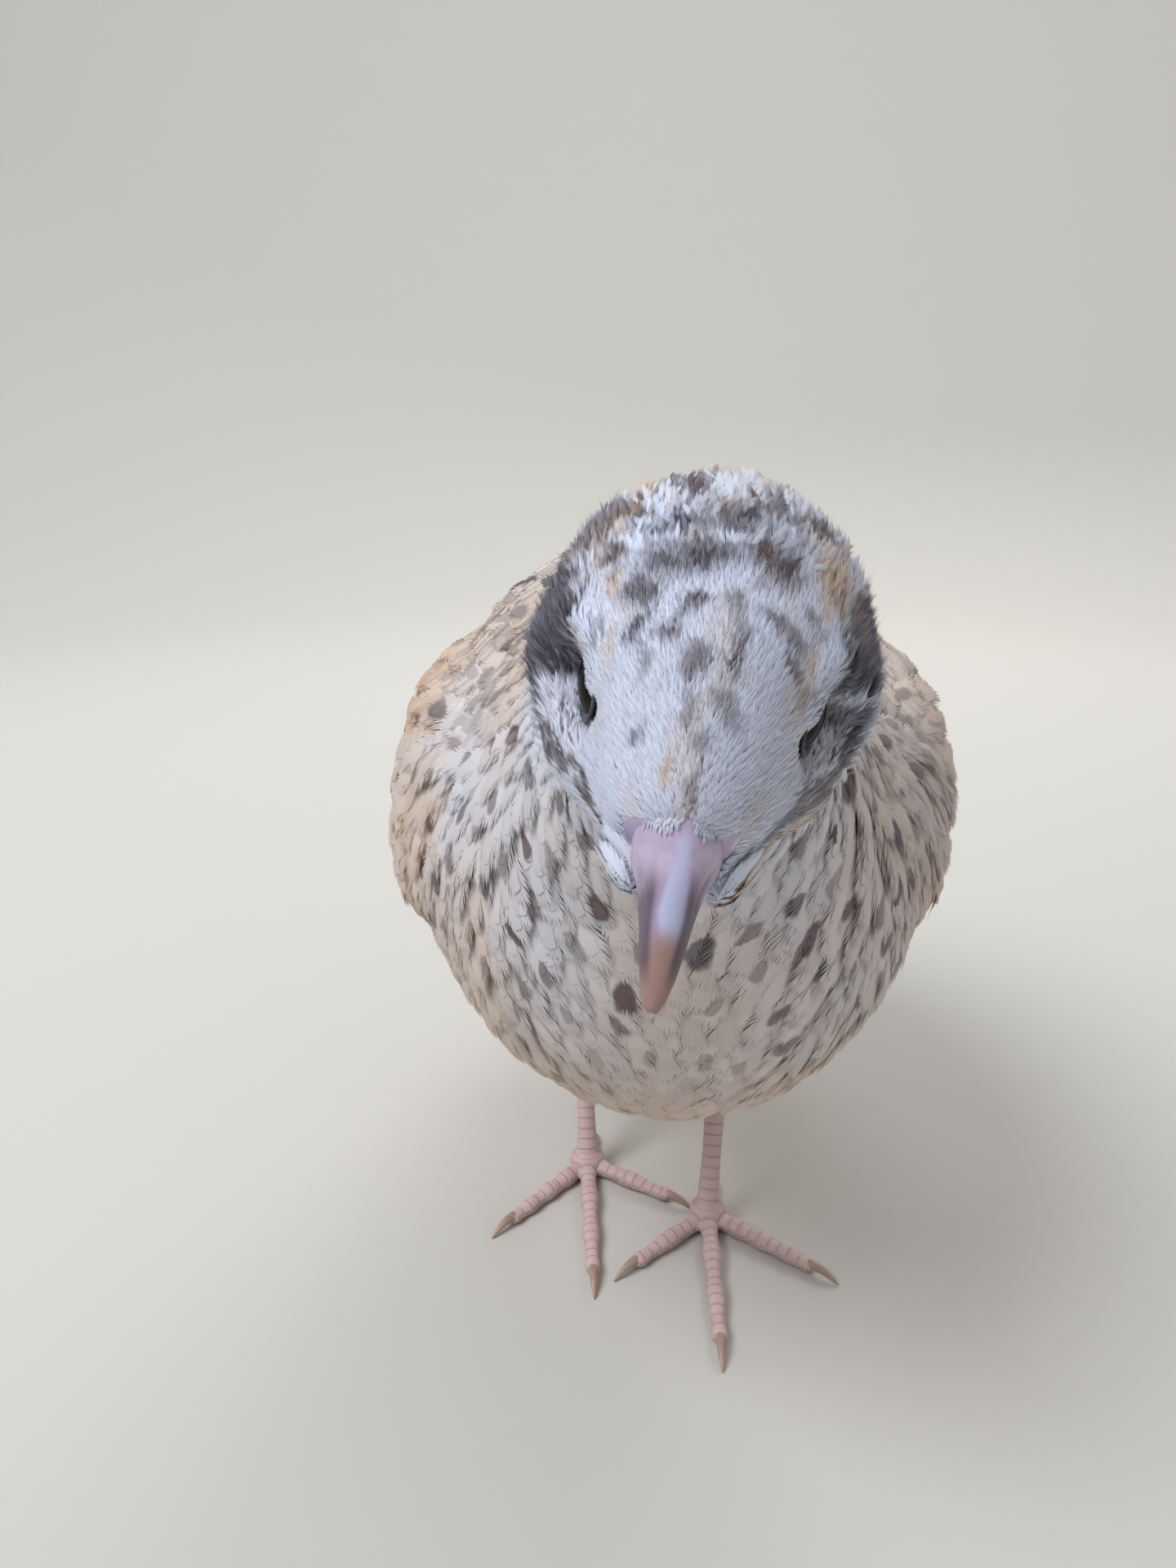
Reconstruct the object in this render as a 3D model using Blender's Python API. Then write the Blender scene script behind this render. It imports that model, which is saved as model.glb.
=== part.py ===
"""A life-size coturnix quail that stands with its neck stretched forward and its bill lowered.

The bird faces -Y and its left side is +X. The floor is z = 0. All sizes are in metres, written as millimetres
times MM. The torso, neck and head are modelled whole and parted with thin cuts. Wings and tail carry their
feathers as vanes in tiers. The two feet stand flat on the floor, the left one a little ahead.
"""

import math
import random

import bmesh
import bpy
from mathutils import Matrix, Vector
from mathutils.bvhtree import BVHTree

MM = 0.001
GAP = 0.3 * MM  # kept between touching nodes
MIDDLE = Vector((0, 4.1, 0)) * MM  # of the finished bird's outer box on the floor; it becomes the origin

# Where the head is and how it is turned. Its own frame has the bill along -Y and the eyes at its origin.
HEAD_AT = Vector((-1.9, -63.0, 92.6)) * MM
HEAD_PITCH = math.radians(37)  # bill down
HEAD_ROLL = math.radians(8)  # left ear down
HEAD_YAW = math.radians(-6)  # bill towards the bird's right
HEAD = (
    Matrix.Translation(HEAD_AT)
    @ Matrix.Rotation(HEAD_YAW, 4, "Z")
    @ Matrix.Rotation(HEAD_ROLL, 4, "Y")
    @ Matrix.Rotation(HEAD_PITCH, 4, "X")
)

# Torso and neck: rings square to a spine that runs from the tail to the inside of the head.
# Each row is the ring's centre x, y, z, half width, height above and height below its centre, in mm.
BODY_ROWS = (
    (0, 72.5, 47.0, 3.0, 1.2, 1.5),
    (0, 68.0, 48.8, 8.0, 3.6, 4.4),
    (0, 60.0, 52.0, 12.5, 7.6, 8.5),
    (0, 49.0, 55.5, 18.0, 14.5, 14.0),
    (0, 36.0, 59.0, 24.5, 23.5, 22.5),
    (0, 20.0, 61.5, 28.8, 32.5, 30.0),
    (0, 4.0, 63.0, 30.3, 36.0, 34.0),
    (0, -11.0, 65.5, 30.3, 35.0, 33.8),
    (0, -24.0, 70.0, 27.5, 30.0, 31.0),
    (-0.3, -33.5, 76.0, 22.5, 25.0, 25.0),
    (-0.8, -41.0, 82.5, 17.5, 19.5, 18.0),
    (-1.2, -47.5, 89.0, 13.5, 14.0, 13.5),
    (-1.5, -53.0, 94.0, 9.0, 8.5, 9.0),
)
BODY_RINGS = 28
BODY_SIDES = 28

# Head: rings square to its own Y. Each row is y, centre z, half width, height above and below, in mm.
HEAD_ROWS = (
    (-10.4, -1.6, 2.8, 2.6, 2.6),
    (-9.4, -1.7, 3.9, 3.9, 4.9),
    (-7.6, -1.5, 5.3, 5.4, 7.8),
    (-4.6, -1.2, 6.9, 7.6, 8.1),
    (-1.0, -0.8, 8.5, 9.1, 9.3),
    (3.0, -1.2, 10.2, 9.8, 10.4),
    (7.0, -1.8, 9.9, 10.4, 10.6),
    (10.5, -2.0, 10.4, 10.0, 10.6),
    (14.0, -2.2, 10.2, 9.3, 10.0),
    (17.0, -2.2, 6.8, 7.4, 7.8),
    (18.6, -2.4, 2.5, 3.0, 3.0),
)
HEAD_BULGES = (  # ear coverts and jowls in mm: y, z, spread in y and z, how far they stand out
    (6.1, -4.7, 5.0, 5.0, 3.1),
    (-2.5, -8.1, 4.2, 4.2, 5.1),
)
CROWN_POWER = 1.15  # above 1 the crown narrows upwards
JAW_POWER = 0.85  # below 1 the lower face is full
HEAD_RINGS = 18
HEAD_SIDES = 24

# Eyes
EYE_RADIUS = 4.1 * MM
EYE_OUT = 4.3 * MM  # from the head's middle to each eyeball's centre
EYE_AXIS = Vector((0.95, -0.27, 0.13)).normalized()
LID_RADIUS = 2.95 * MM
LID_THICKNESS = 0.6 * MM
ORBIT_DEPTH = 1.3 * MM  # how far the face dips round the eye
ORBIT_SPREAD = 3.0 * MM

# Bill: rows of y, culmen z, cutting edge z, half width, in mm, in the head's frame.
UPPER_BILL_ROWS = (
    (-6.4, 0.6, -3.6, 2.6),
    (-8.8, 1.7, -3.7, 3.2),
    (-11.4, 0.7, -3.9, 3.0),
    (-14.2, -1.1, -4.3, 2.3),
    (-16.6, -2.9, -4.9, 1.6),
    (-18.5, -4.6, -5.7, 0.95),
    (-19.8, -6.0, -6.5, 0.3),
)
# Rows of y, cutting edge z, underside z, half width.
LOWER_BILL_ROWS = (
    (-5.4, -4.1, -5.9, 2.7),
    (-8.6, -4.1, -6.6, 2.9),
    (-11.4, -4.3, -6.7, 2.5),
    (-14.2, -4.7, -6.7, 1.9),
    (-16.6, -5.3, -6.7, 1.2),
    (-18.1, -6.0, -6.6, 0.5),
)
BILL_RINGS = 12
BILL_SIDES = 12
NOSTRIL_AT = Vector((2.2, -10.5, -0.9)) * MM
NOSTRIL_SIZE = Vector((1.15, 2.3, 1.25)) * MM

# Cuts across the whole body: a point, and the way towards the tail.
HEAD_CUT = (Vector((-1.3, -48.2, 90.0)) * MM, Vector((0, 0.80, -0.60)))
NECK_CUT = (Vector((0, -35.0, 76.5)) * MM, Vector((0, 0.82, -0.57)))
TAIL_CUT = (Vector((0, 54.5, 53.0)) * MM, Vector((0, 0.96, -0.28)))

# Feet. Each toe has a length with its claw, and a bearing from straight ahead, positive to the bird's left.
FOOT = {
    "left": {
        "joint": Vector((8.1, -1.0, 4.0)) * MM,
        "ankle": Vector((10.8, 11.0, 30.0)) * MM,
        "bearings": {"inner": -49, "middle": -2, "outer": 52, "hind": 168},
    },
    "right": {
        "joint": Vector((-9.5, 11.0, 4.0)) * MM,
        "ankle": Vector((-10.6, 22.5, 30.0)) * MM,
        "bearings": {"inner": 58, "middle": 2, "outer": -41, "hind": 172},
    },
}
TOE_LENGTHS = {"inner": 14.6 * MM, "middle": 23.5 * MM, "outer": 17.0 * MM, "hind": 6.5 * MM}
TOE_SCUTES = {"inner": 6, "middle": 9, "outer": 7, "hind": 3}
TOE_RADIUS = 1.25 * MM
TOE_TIP_RADIUS = 0.9 * MM
TOE_SIDES = 8
CLAW_LENGTH = 3.6 * MM
SHANK_RADIUS = 1.5 * MM
SHANK_SCUTES = 9
SHANK_SIDES = 9
SHANK_SUNK = 3.0 * MM  # how far the shank reaches up into the cuff
HUB_RADIUS = 3.2 * MM
HUB_HEIGHT = 2.4 * MM
SCUTE_STEP = 0.16 * MM  # how far each scute's lower edge stands out
CUFF_TOP = 42.0 * MM  # the feathered leg runs from this height down to CUFF_END
CUFF_END = 18.5 * MM
CUFF_RADIUS_TOP = 10.0 * MM
CUFF_RADIUS_END = 3.2 * MM

# Vanes
VANE_THICKNESS = 0.55 * MM
VANE_CAMBER = 0.35 * MM
VANE_STEPS = (0.0, 0.3, 0.6, 0.84, 1.0)  # where each vane has its rows, from root to tip
VANE_ROLL = math.radians(11)

# Wing, as y, z on the body's side for the left wing. It is laid over the torso.
WING_FRONT_Y = -31.0 * MM
WING_BACK_Y = 30.0 * MM
WING_LOW_Z = (58.0 * MM, 55.0 * MM)  # at the front and at the back
WING_HIGH_Z = (84.0 * MM, 81.0 * MM)
WING_THICKNESS = 2.8 * MM
WING_LEAST = 0.75 * MM
# Each tier: vanes, then root and tip of its lowest and of its highest vane as (y, z), the vane's half width,
# and how far its root and tip lie off the torso, all in mm.
WING_TIERS = (
    ("primary", 4, ((8, 60), (54, 57)), ((6, 65), (51, 63)), 2.7, (1.5, 1.7)),
    ("secondary", 6, ((0, 62), (47, 64)), ((-6, 82), (32, 82)), 3.1, (1.8, 2.2)),
    ("greater", 7, ((-18, 60), (20, 57)), ((-18, 82), (13, 86)), 2.8, (2.2, 3.1)),
    ("median", 6, ((-27, 65), (-3, 58)), ((-26, 80), (-6, 86)), 2.8, (2.4, 3.7)),
)

# Tail: a fan of vanes from a short stump, with coverts above.
TAIL_ROOT = Vector((0, 58.0, 50.5)) * MM
TAIL_TIP = Vector((0, 83.0, 41.0)) * MM
TAIL_ROOT_HALF = 5.5 * MM  # half the width over which the vanes' roots lie
TAIL_VANES = 9
TAIL_SPREAD = math.radians(17)
TAIL_HALF_WIDTH = 2.7 * MM
TAIL_COVERTS = 8
TAIL_COVERT_ROOT = Vector((0, 57.0, 57.5)) * MM
TAIL_COVERT_TIP = Vector((0, 77.0, 47.0)) * MM

COLOURS = {
    "plumage": (0.72, 0.66, 0.60, 1),
    "feather": (0.62, 0.54, 0.46, 1),
    "bill": (0.66, 0.48, 0.50, 1),
    "eye": (0.03, 0.02, 0.02, 1),
    "leg": (0.72, 0.46, 0.43, 1),
    "claw": (0.60, 0.48, 0.40, 1),
}
ROUGHNESS = {"plumage": 0.9, "feather": 0.8, "bill": 0.45, "eye": 0.08, "leg": 0.6, "claw": 0.45}


def clear_scene():
    for obj in list(bpy.data.objects):
        bpy.data.objects.remove(obj)


def make_material(name):
    material = bpy.data.materials.new(name)
    material.use_nodes = True
    shader = material.node_tree.nodes["Principled BSDF"]
    shader.inputs["Base Color"].default_value = COLOURS[name]
    shader.inputs["Roughness"].default_value = ROUGHNESS[name]
    shader.inputs["Metallic"].default_value = 0.0
    return material


def spline(rows, share):
    """The row at share 0 to 1 along a smooth curve through the rows."""
    place = share * (len(rows) - 1)
    i = min(int(place), len(rows) - 2)
    t = place - i
    four = (rows[max(i - 1, 0)], rows[i], rows[i + 1], rows[min(i + 2, len(rows) - 1)])
    return [
        0.5 * (2 * b + (c - a) * t + (2 * a - 5 * b + 4 * c - d) * t * t + (3 * b - a - 3 * c + d) * t**3)
        for a, b, c, d in zip(*four)
    ]


def mesh_object(name, bm):
    """An object of this bmesh, with its faces turned outwards."""
    bmesh.ops.recalc_face_normals(bm, faces=bm.faces[:])
    mesh = bpy.data.meshes.new(name)
    bm.to_mesh(mesh)
    bm.free()
    obj = bpy.data.objects.new(name, mesh)
    bpy.context.scene.collection.objects.link(obj)
    return obj


def loft(name, rings):
    """A closed mesh through rings of equal size, with a flat cap at each end."""
    bm = bmesh.new()
    rows = [[bm.verts.new(p) for p in ring] for ring in rings]
    sides = len(rows[0])
    for low, high in zip(rows, rows[1:]):
        for k in range(sides):
            bm.faces.new((low[k], low[(k + 1) % sides], high[(k + 1) % sides], high[k]))
    bm.faces.new(rows[0])
    bm.faces.new(rows[-1])
    return mesh_object(name, bm)


def ellipsoid(name, size, at, matrix, segments=12, rings=8):
    bm = bmesh.new()
    bmesh.ops.create_uvsphere(bm, u_segments=segments, v_segments=rings, radius=1.0)
    bm.transform(matrix @ Matrix.Translation(at) @ Matrix.Diagonal((*size, 1)))
    return mesh_object(name, bm)


def torus(name, centre, axis, radius, thickness, segments=18, sides=5):
    turn = axis.to_track_quat("Z", "Y").to_matrix().to_4x4()
    rings = []
    for i in range(segments):
        a = math.tau * i / segments
        out = Vector((math.cos(a), math.sin(a), 0))
        ring = []
        for k in range(sides):
            b = math.tau * k / sides
            ring.append(out * (radius + thickness * math.cos(b)) + Vector((0, 0, thickness * math.sin(b))))
        rings.append(ring)
    bm = bmesh.new()
    rows = [[bm.verts.new(HEAD @ (centre + turn @ p)) for p in ring] for ring in rings]
    for i in range(segments):
        near, far = rows[i], rows[(i + 1) % segments]
        for k in range(sides):
            bm.faces.new((near[k], near[(k + 1) % sides], far[(k + 1) % sides], far[k]))
    return mesh_object(name, bm)


def combine(target, others, operation, solver="EXACT"):
    """Applies one Boolean of target with a collection of the others, and removes them."""
    helpers = bpy.data.collections.new("helpers")
    bpy.context.scene.collection.children.link(helpers)
    for other in others:
        bpy.context.scene.collection.objects.unlink(other)
        helpers.objects.link(other)
    modifier = target.modifiers.new("join", "BOOLEAN")
    modifier.operation = operation
    modifier.solver = solver
    modifier.operand_type = "COLLECTION"
    modifier.collection = helpers
    graph = bpy.context.evaluated_depsgraph_get()
    mesh = bpy.data.meshes.new_from_object(target.evaluated_get(graph))
    target.modifiers.clear()
    target.data = mesh
    for other in list(helpers.objects):
        bpy.data.objects.remove(other)
    bpy.data.collections.remove(helpers)
    keep_largest(target)
    return target


def keep_largest(obj):
    """Leaves only the closed surface that encloses the most."""
    bm = bmesh.new()
    bm.from_mesh(obj.data)
    bmesh.ops.triangulate(bm, faces=bm.faces[:])
    left = set(bm.faces)
    surfaces = []
    while left:
        surface, edge = set(), [left.pop()]
        while edge:
            face = edge.pop()
            surface.add(face)
            for around in (f for e in face.edges for f in e.link_faces):
                if around in left:
                    left.remove(around)
                    edge.append(around)
        volume = sum(f.verts[0].co.dot(f.verts[1].co.cross(f.verts[2].co)) for f in surface)
        surfaces.append((abs(volume), surface))
    surfaces.sort(key=lambda s: -s[0])
    scraps = [f for _, surface in surfaces[1:] for f in surface]
    bmesh.ops.delete(bm, geom=scraps, context="FACES")
    bm.to_mesh(obj.data)
    bm.free()


def cut_piece(source, name, planes):
    """A copy of source between planes, each (point, way out of the piece), with flat caps."""
    bm = bmesh.new()
    bm.from_mesh(source.data)
    for point, outward in planes:
        way = outward.normalized()
        found = bmesh.ops.bisect_plane(
            bm,
            geom=bm.verts[:] + bm.edges[:] + bm.faces[:],
            plane_co=point - way * GAP / 2,
            plane_no=way,
            clear_outer=True,
            dist=1e-7,
        )
        edges = [e for e in found["geom_cut"] if isinstance(e, bmesh.types.BMEdge)]
        bmesh.ops.holes_fill(bm, edges=edges)
    bmesh.ops.triangulate(bm, faces=bm.faces[:])
    piece = mesh_object(name, bm)
    keep_largest(piece)
    return piece


def surface_of(obj):
    bm = bmesh.new()
    bm.from_mesh(obj.data)
    tree = BVHTree.FromBMesh(bm)
    bm.free()
    return tree


def body_rings():
    """Rings of the torso and neck, square to the spine."""
    rings = []
    for i in range(BODY_RINGS):
        share = i / (BODY_RINGS - 1)
        x, y, z, wide, up, down = (v * MM for v in spline(BODY_ROWS, share))
        ahead = Vector(spline(BODY_ROWS, min(share + 0.01, 1))[:3])
        behind = Vector(spline(BODY_ROWS, max(share - 0.01, 0))[:3])
        along = (ahead - behind).normalized()
        side = Vector((1, 0, 0))
        above = side.cross(along).normalized()
        if above.z < 0:
            above.negate()
        ring = []
        for k in range(BODY_SIDES):
            a = math.tau * k / BODY_SIDES
            height = up if math.sin(a) > 0 else down
            ring.append(Vector((x, y, z)) + side * wide * math.cos(a) + above * height * math.sin(a))
        rings.append(ring)
    return rings


def head_rings():
    """Rings of the head in the world, dipped round the eyes."""
    rings = []
    for i in range(HEAD_RINGS):
        y, z, wide, up, down = (v * MM for v in spline(HEAD_ROWS, i / (HEAD_RINGS - 1)))
        ring = []
        for k in range(HEAD_SIDES):
            a = math.tau * k / HEAD_SIDES
            power = CROWN_POWER if math.sin(a) > 0 else JAW_POWER
            x = wide * math.copysign(abs(math.cos(a)) ** power, math.cos(a))
            high = z + (up if math.sin(a) > 0 else down) * math.sin(a)
            for at_y, at_z, spread_y, spread_z, stand in HEAD_BULGES:
                near = math.exp(-(((y / MM - at_y) / spread_y) ** 2) - ((high / MM - at_z) / spread_z) ** 2)
                x += math.copysign(math.sqrt(abs(math.cos(a))), x) * stand * MM * near
            reach = math.hypot(y, high)
            dip = ORBIT_DEPTH * math.exp(-((reach / ORBIT_SPREAD) ** 2))
            if abs(x) > dip:
                x -= math.copysign(dip, x)
            ring.append(HEAD @ Vector((x, y, high)))
        rings.append(ring)
    return rings


def bill_rings(rows, grow, upper):
    """Rings of half a bill in the world. grow makes the cutter that clears it."""
    rings = []
    for i in range(BILL_RINGS):
        y, top, bottom, wide = (v * MM for v in spline(rows, i / (BILL_RINGS - 1)))
        if grow and i == 0:
            y += grow
        edge, far = (bottom, top) if upper else (top, bottom)
        ring = []
        for k in range(BILL_SIDES):
            a = math.tau * k / BILL_SIDES
            reach = (far - edge) * math.sin(a) if math.sin(a) > 0 else 0
            out = math.copysign(abs(math.cos(a)) ** 0.8, math.cos(a))
            rise = (grow if upper else -grow) * math.sin(a)
            ring.append(HEAD @ Vector(((wide + grow) * out, y, edge + reach + rise)))
        rings.append(ring)
    return rings


def eye_centre(side):
    return Vector((side * EYE_OUT, 0, 0))


def make_eye(name, side, radius):
    return ellipsoid(name, (radius,) * 3, eye_centre(side), HEAD, segments=16, rings=10)


def make_lid(side):
    axis = Vector((side * EYE_AXIS.x, EYE_AXIS.y, EYE_AXIS.z))
    reach = math.sqrt(EYE_RADIUS**2 - LID_RADIUS**2)
    return torus("lid", eye_centre(side) + axis * reach, axis, LID_RADIUS, LID_THICKNESS)


def make_bill():
    """Both halves of the bill, with the flaps over the nostrils on the upper one."""
    upper = loft("bill_upper", bill_rings(UPPER_BILL_ROWS, 0, True))
    lower = loft("bill_lower", bill_rings(LOWER_BILL_ROWS, 0, False))
    flaps, slits = [], []
    for side in (1, -1):
        at = Vector((side * NOSTRIL_AT.x, NOSTRIL_AT.y, NOSTRIL_AT.z))
        flaps.append(ellipsoid("flap", NOSTRIL_SIZE, at, HEAD))
        slit_at = at + Vector((side * 1.0, -0.4, -0.95)) * MM
        slits.append(ellipsoid("slit", Vector((0.7, 1.3, 0.3)) * MM, slit_at, HEAD, 10, 6))
    combine(upper, flaps, "UNION")
    combine(upper, slits, "DIFFERENCE")
    return upper, lower


def make_trunk():
    """Head, neck, torso and the tail's stump, cut from one whole shape."""
    whole = loft("whole", body_rings())
    combine(whole, [loft("skull", head_rings())], "UNION")
    head_at, head_way = HEAD_CUT
    neck_at, neck_way = NECK_CUT
    tail_at, tail_way = TAIL_CUT
    head = cut_piece(whole, "head", [(head_at, head_way)])
    neck = cut_piece(whole, "neck", [(head_at, -head_way), (neck_at, neck_way)])
    torso = cut_piece(whole, "torso", [(neck_at, -neck_way), (tail_at, tail_way)])
    stump = cut_piece(whole, "tail", [(tail_at, -tail_way)])
    bpy.data.objects.remove(whole)
    return head, neck, torso, stump


def finish_head(head):
    """Adds the lids, then clears the eyeballs and the bill out of the head."""
    combine(head, [make_lid(1), make_lid(-1)], "UNION")
    cutters = [make_eye("socket", side, EYE_RADIUS + GAP) for side in (1, -1)]
    cutters.append(loft("upper_clearance", bill_rings(UPPER_BILL_ROWS, GAP, True)))
    cutters.append(loft("lower_clearance", bill_rings(LOWER_BILL_ROWS, GAP, False)))
    for side in (1, -1):
        at = Vector((side * NOSTRIL_AT.x, NOSTRIL_AT.y, NOSTRIL_AT.z))
        cutters.append(ellipsoid("flap_clearance", NOSTRIL_SIZE + Vector((GAP,) * 3), at, HEAD))
    return combine(head, cutters, "DIFFERENCE")


def vane(name, spine, normals, half_width, thickness=VANE_THICKNESS, roll=0.0):
    """A feather's vane along spine points, curved over its normals, pointed at the tip.

    Both faces are split into triangles alike, so that they never cross.
    """
    last = len(spine) - 1
    rows = []
    for i, (t, at, up) in enumerate(zip(VANE_STEPS, spine, normals)):
        ahead = spine[min(i + 1, last)] - spine[max(i - 1, 0)]
        across = ahead.cross(up).normalized()
        wide = half_width * vane_width(t)
        tilt = up * math.tan(roll) * wide
        left = at - across * wide - up * VANE_CAMBER * vane_width(t) - tilt
        right = at + across * wide - up * VANE_CAMBER * vane_width(t) + tilt
        rows.append(((left, at, right), up))
    bm = bmesh.new()
    faces = []
    for lift in (thickness / 2, -thickness / 2):
        faces.append([[bm.verts.new(p + up * lift) for p in points] for points, up in rows])
    top, bottom = faces
    for sheet in (top, bottom):
        for low, high in zip(sheet, sheet[1:]):
            for k in (0, 1):
                bm.faces.new((low[k], low[k + 1], high[k + 1]))
                bm.faces.new((low[k], high[k + 1], high[k]))
    for k in (0, 2):
        for i in range(last):
            bm.faces.new((top[i][k], top[i + 1][k], bottom[i + 1][k]))
            bm.faces.new((top[i][k], bottom[i + 1][k], bottom[i][k]))
    for i in (0, last):
        for k in (0, 1):
            bm.faces.new((top[i][k], top[i][k + 1], bottom[i][k + 1]))
            bm.faces.new((top[i][k], bottom[i][k + 1], bottom[i][k]))
    return mesh_object(name, bm)


def vane_width(t):
    """A vane's share of its full width: narrow at the root, full in the middle, rounded at the tip."""
    grown = min(1.0, 0.5 + 1.4 * t)
    rounded = math.sqrt(max(0.0, 1 - max(0.0, (t - 0.6) / 0.405) ** 2))
    return max(0.15, grown * rounded)


def over_side(torso, side, y, z, lift):
    """The point off the torso's side at height z, and the surface's normal there."""
    start = Vector((side * 90 * MM, y, z))
    found, normal, _, _ = torso.ray_cast(start, Vector((-side, 0, 0)))
    if found is None:
        found, normal, _, _ = torso.find_nearest(Vector((side * 6 * MM, y, z)))
    return found + normal * lift, normal


def wing_core(torso, side):
    """The folded arm: a slab laid over the torso's side, thin at its edge."""
    columns, lines = 10, 6
    outer, inner = [], []
    for i in range(columns + 1):
        s = i / columns
        y = WING_FRONT_Y + (WING_BACK_Y - WING_FRONT_Y) * s
        low = WING_LOW_Z[0] + (WING_LOW_Z[1] - WING_LOW_Z[0]) * s
        high = WING_HIGH_Z[0] + (WING_HIGH_Z[1] - WING_HIGH_Z[0]) * s
        middle = (low + high) / 2
        half = 0.5 * (WING_HIGH_Z[0] - WING_LOW_Z[0]) * (1 - abs(2 * s - 1) ** 4) ** 0.5
        half = max(half, 2.5 * MM)
        outer_line, inner_line = [], []
        for k in range(lines + 1):
            t = 2 * k / lines - 1
            fullness = (1 - t**4) * (1 - abs(2 * s - 1) ** 4)
            thick = WING_LEAST + (WING_THICKNESS - WING_LEAST) * fullness
            outer_line.append(over_side(torso, side, y, middle + half * t, 2 * GAP + thick)[0])
            inner_line.append(over_side(torso, side, y, middle + half * t, 2 * GAP)[0])
        outer.append(outer_line)
        inner.append(inner_line)
    return slab("wing_" + ("left" if side > 0 else "right"), outer, inner)


def slab(name, outer, inner):
    """A closed mesh between two grids of points, split into triangles alike on both faces."""
    bm = bmesh.new()
    sheets = [[[bm.verts.new(p) for p in line] for line in grid] for grid in (outer, inner)]
    lines, points = len(outer), len(outer[0])
    for sheet in sheets:
        for i in range(lines - 1):
            for k in range(points - 1):
                a, b, c, d = sheet[i][k], sheet[i + 1][k], sheet[i + 1][k + 1], sheet[i][k + 1]
                bm.faces.new((a, b, c))
                bm.faces.new((a, c, d))
    border = [(i, 0) for i in range(lines)]
    border += [(lines - 1, k) for k in range(1, points)]
    border += [(i, points - 1) for i in range(lines - 2, -1, -1)]
    border += [(0, k) for k in range(points - 2, 0, -1)]
    for (i, k), (m, n) in zip(border, border[1:] + border[:1]):
        bm.faces.new((sheets[0][i][k], sheets[0][m][n], sheets[1][m][n], sheets[1][i][k]))
    return mesh_object(name, bm)


def wing_vane(torso, side, root, tip, half_width, lifts):
    """One vane laid over the torso from root to tip, both (y, z)."""
    spine, normals = [], []
    for t in VANE_STEPS:
        y = root[0] + (tip[0] - root[0]) * t
        z = root[1] + (tip[1] - root[1]) * t - 3.0 * MM * math.sin(math.pi * t)
        at, normal = over_side(torso, side, y, z, lifts[0] + (lifts[1] - lifts[0]) * t)
        spine.append(at)
        normals.append(normal)
    return vane("vane", spine, normals, half_width, roll=-side * VANE_ROLL)


def make_wing(torso, side):
    """The core with its tiers of vanes."""
    core = wing_core(torso, side)
    vanes = []
    draw = random.Random(11)
    for _, count, lowest, highest, half_width, lifts in WING_TIERS:
        for i in range(count):
            share = i / (count - 1)
            ends = []
            for low, high in zip(lowest, highest):
                ends.append([(a + (b - a) * share) * MM for a, b in zip(low, high)])
            ends[1][0] += draw.uniform(-1, 1) * MM
            lift = [(v + 0.5 * share) * MM for v in lifts]
            vanes.append(wing_vane(torso, side, *ends, half_width * MM, lift))
    return combine(core, vanes, "UNION")


def fan_vane(root, tip, share, droop, half_width, lift):
    """One vane of a fan. share runs from -1 at the right to 1 at the left; the fan's sides droop."""
    angle = -share * TAIL_SPREAD
    turned = Matrix.Rotation(angle, 3, "Z") @ (tip - root) * (1 - 0.1 * abs(share))
    start = root + Vector((share * TAIL_ROOT_HALF, 0, -(share**2) * droop * 0.6))
    up = Vector((math.sin(-angle) * 1.5, 0.35, 0.93)).normalized()
    spine, normals = [], []
    for t in VANE_STEPS:
        sag = -1.8 * MM * t * t - share**2 * droop * 0.4 * t
        spine.append(start + turned * t + Vector((0, 0, sag)) + up * lift)
        normals.append(up)
    return vane("vane", spine, normals, half_width, roll=math.copysign(VANE_ROLL * 0.7, -share))


def make_tail(stump):
    """The stump with its fan of tail feathers and the coverts above them."""
    vanes = []
    for i in range(TAIL_VANES):
        share = i / (TAIL_VANES - 1) * 2 - 1
        lift = (1 - abs(share)) * 1.5 * MM
        vanes.append(fan_vane(TAIL_ROOT, TAIL_TIP, share, 4 * MM, TAIL_HALF_WIDTH, lift))
    for i in range(TAIL_COVERTS):
        share = i / (TAIL_COVERTS - 1) * 2 - 1
        lift = (1 - abs(share)) * 1.2 * MM
        vanes.append(fan_vane(TAIL_COVERT_ROOT, TAIL_COVERT_TIP, share, 6 * MM, TAIL_HALF_WIDTH, lift))
    return combine(stump, vanes, "UNION")


def tube(name, centres, radii, sides, floor=None):
    """A closed round tube through the centres, flattened where it would pass below the floor."""
    rings = []
    last = len(centres) - 1
    for i, (at, radius) in enumerate(zip(centres, radii)):
        along = (centres[min(i + 1, last)] - centres[max(i - 1, 0)]).normalized()
        side = along.cross(Vector((0, 0, 1)))
        side = side.normalized() if side.length > 0.1 else Vector((1, 0, 0))
        above = side.cross(along).normalized()
        ring = []
        for k in range(sides):
            a = math.tau * (k + 0.5) / sides
            point = at + side * radius * math.cos(a) + above * radius * math.sin(a)
            if floor is not None:
                point.z = max(point.z, floor)
            ring.append(point)
        rings.append(ring)
    return loft(name, rings)


def scuted(start, end, count, radius_start, radius_end):
    """Centres and radii along a straight run whose scutes each step out at their far edge."""
    centres, radii = [], []
    for i in range(count):
        for part, step in ((0.0, 0.0), (0.86, SCUTE_STEP)):
            share = (i + part) / count
            centres.append(start.lerp(end, share))
            radii.append(radius_start + (radius_end - radius_start) * share + step)
    centres.append(end)
    radii.append(radius_end)
    return centres, radii


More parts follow.
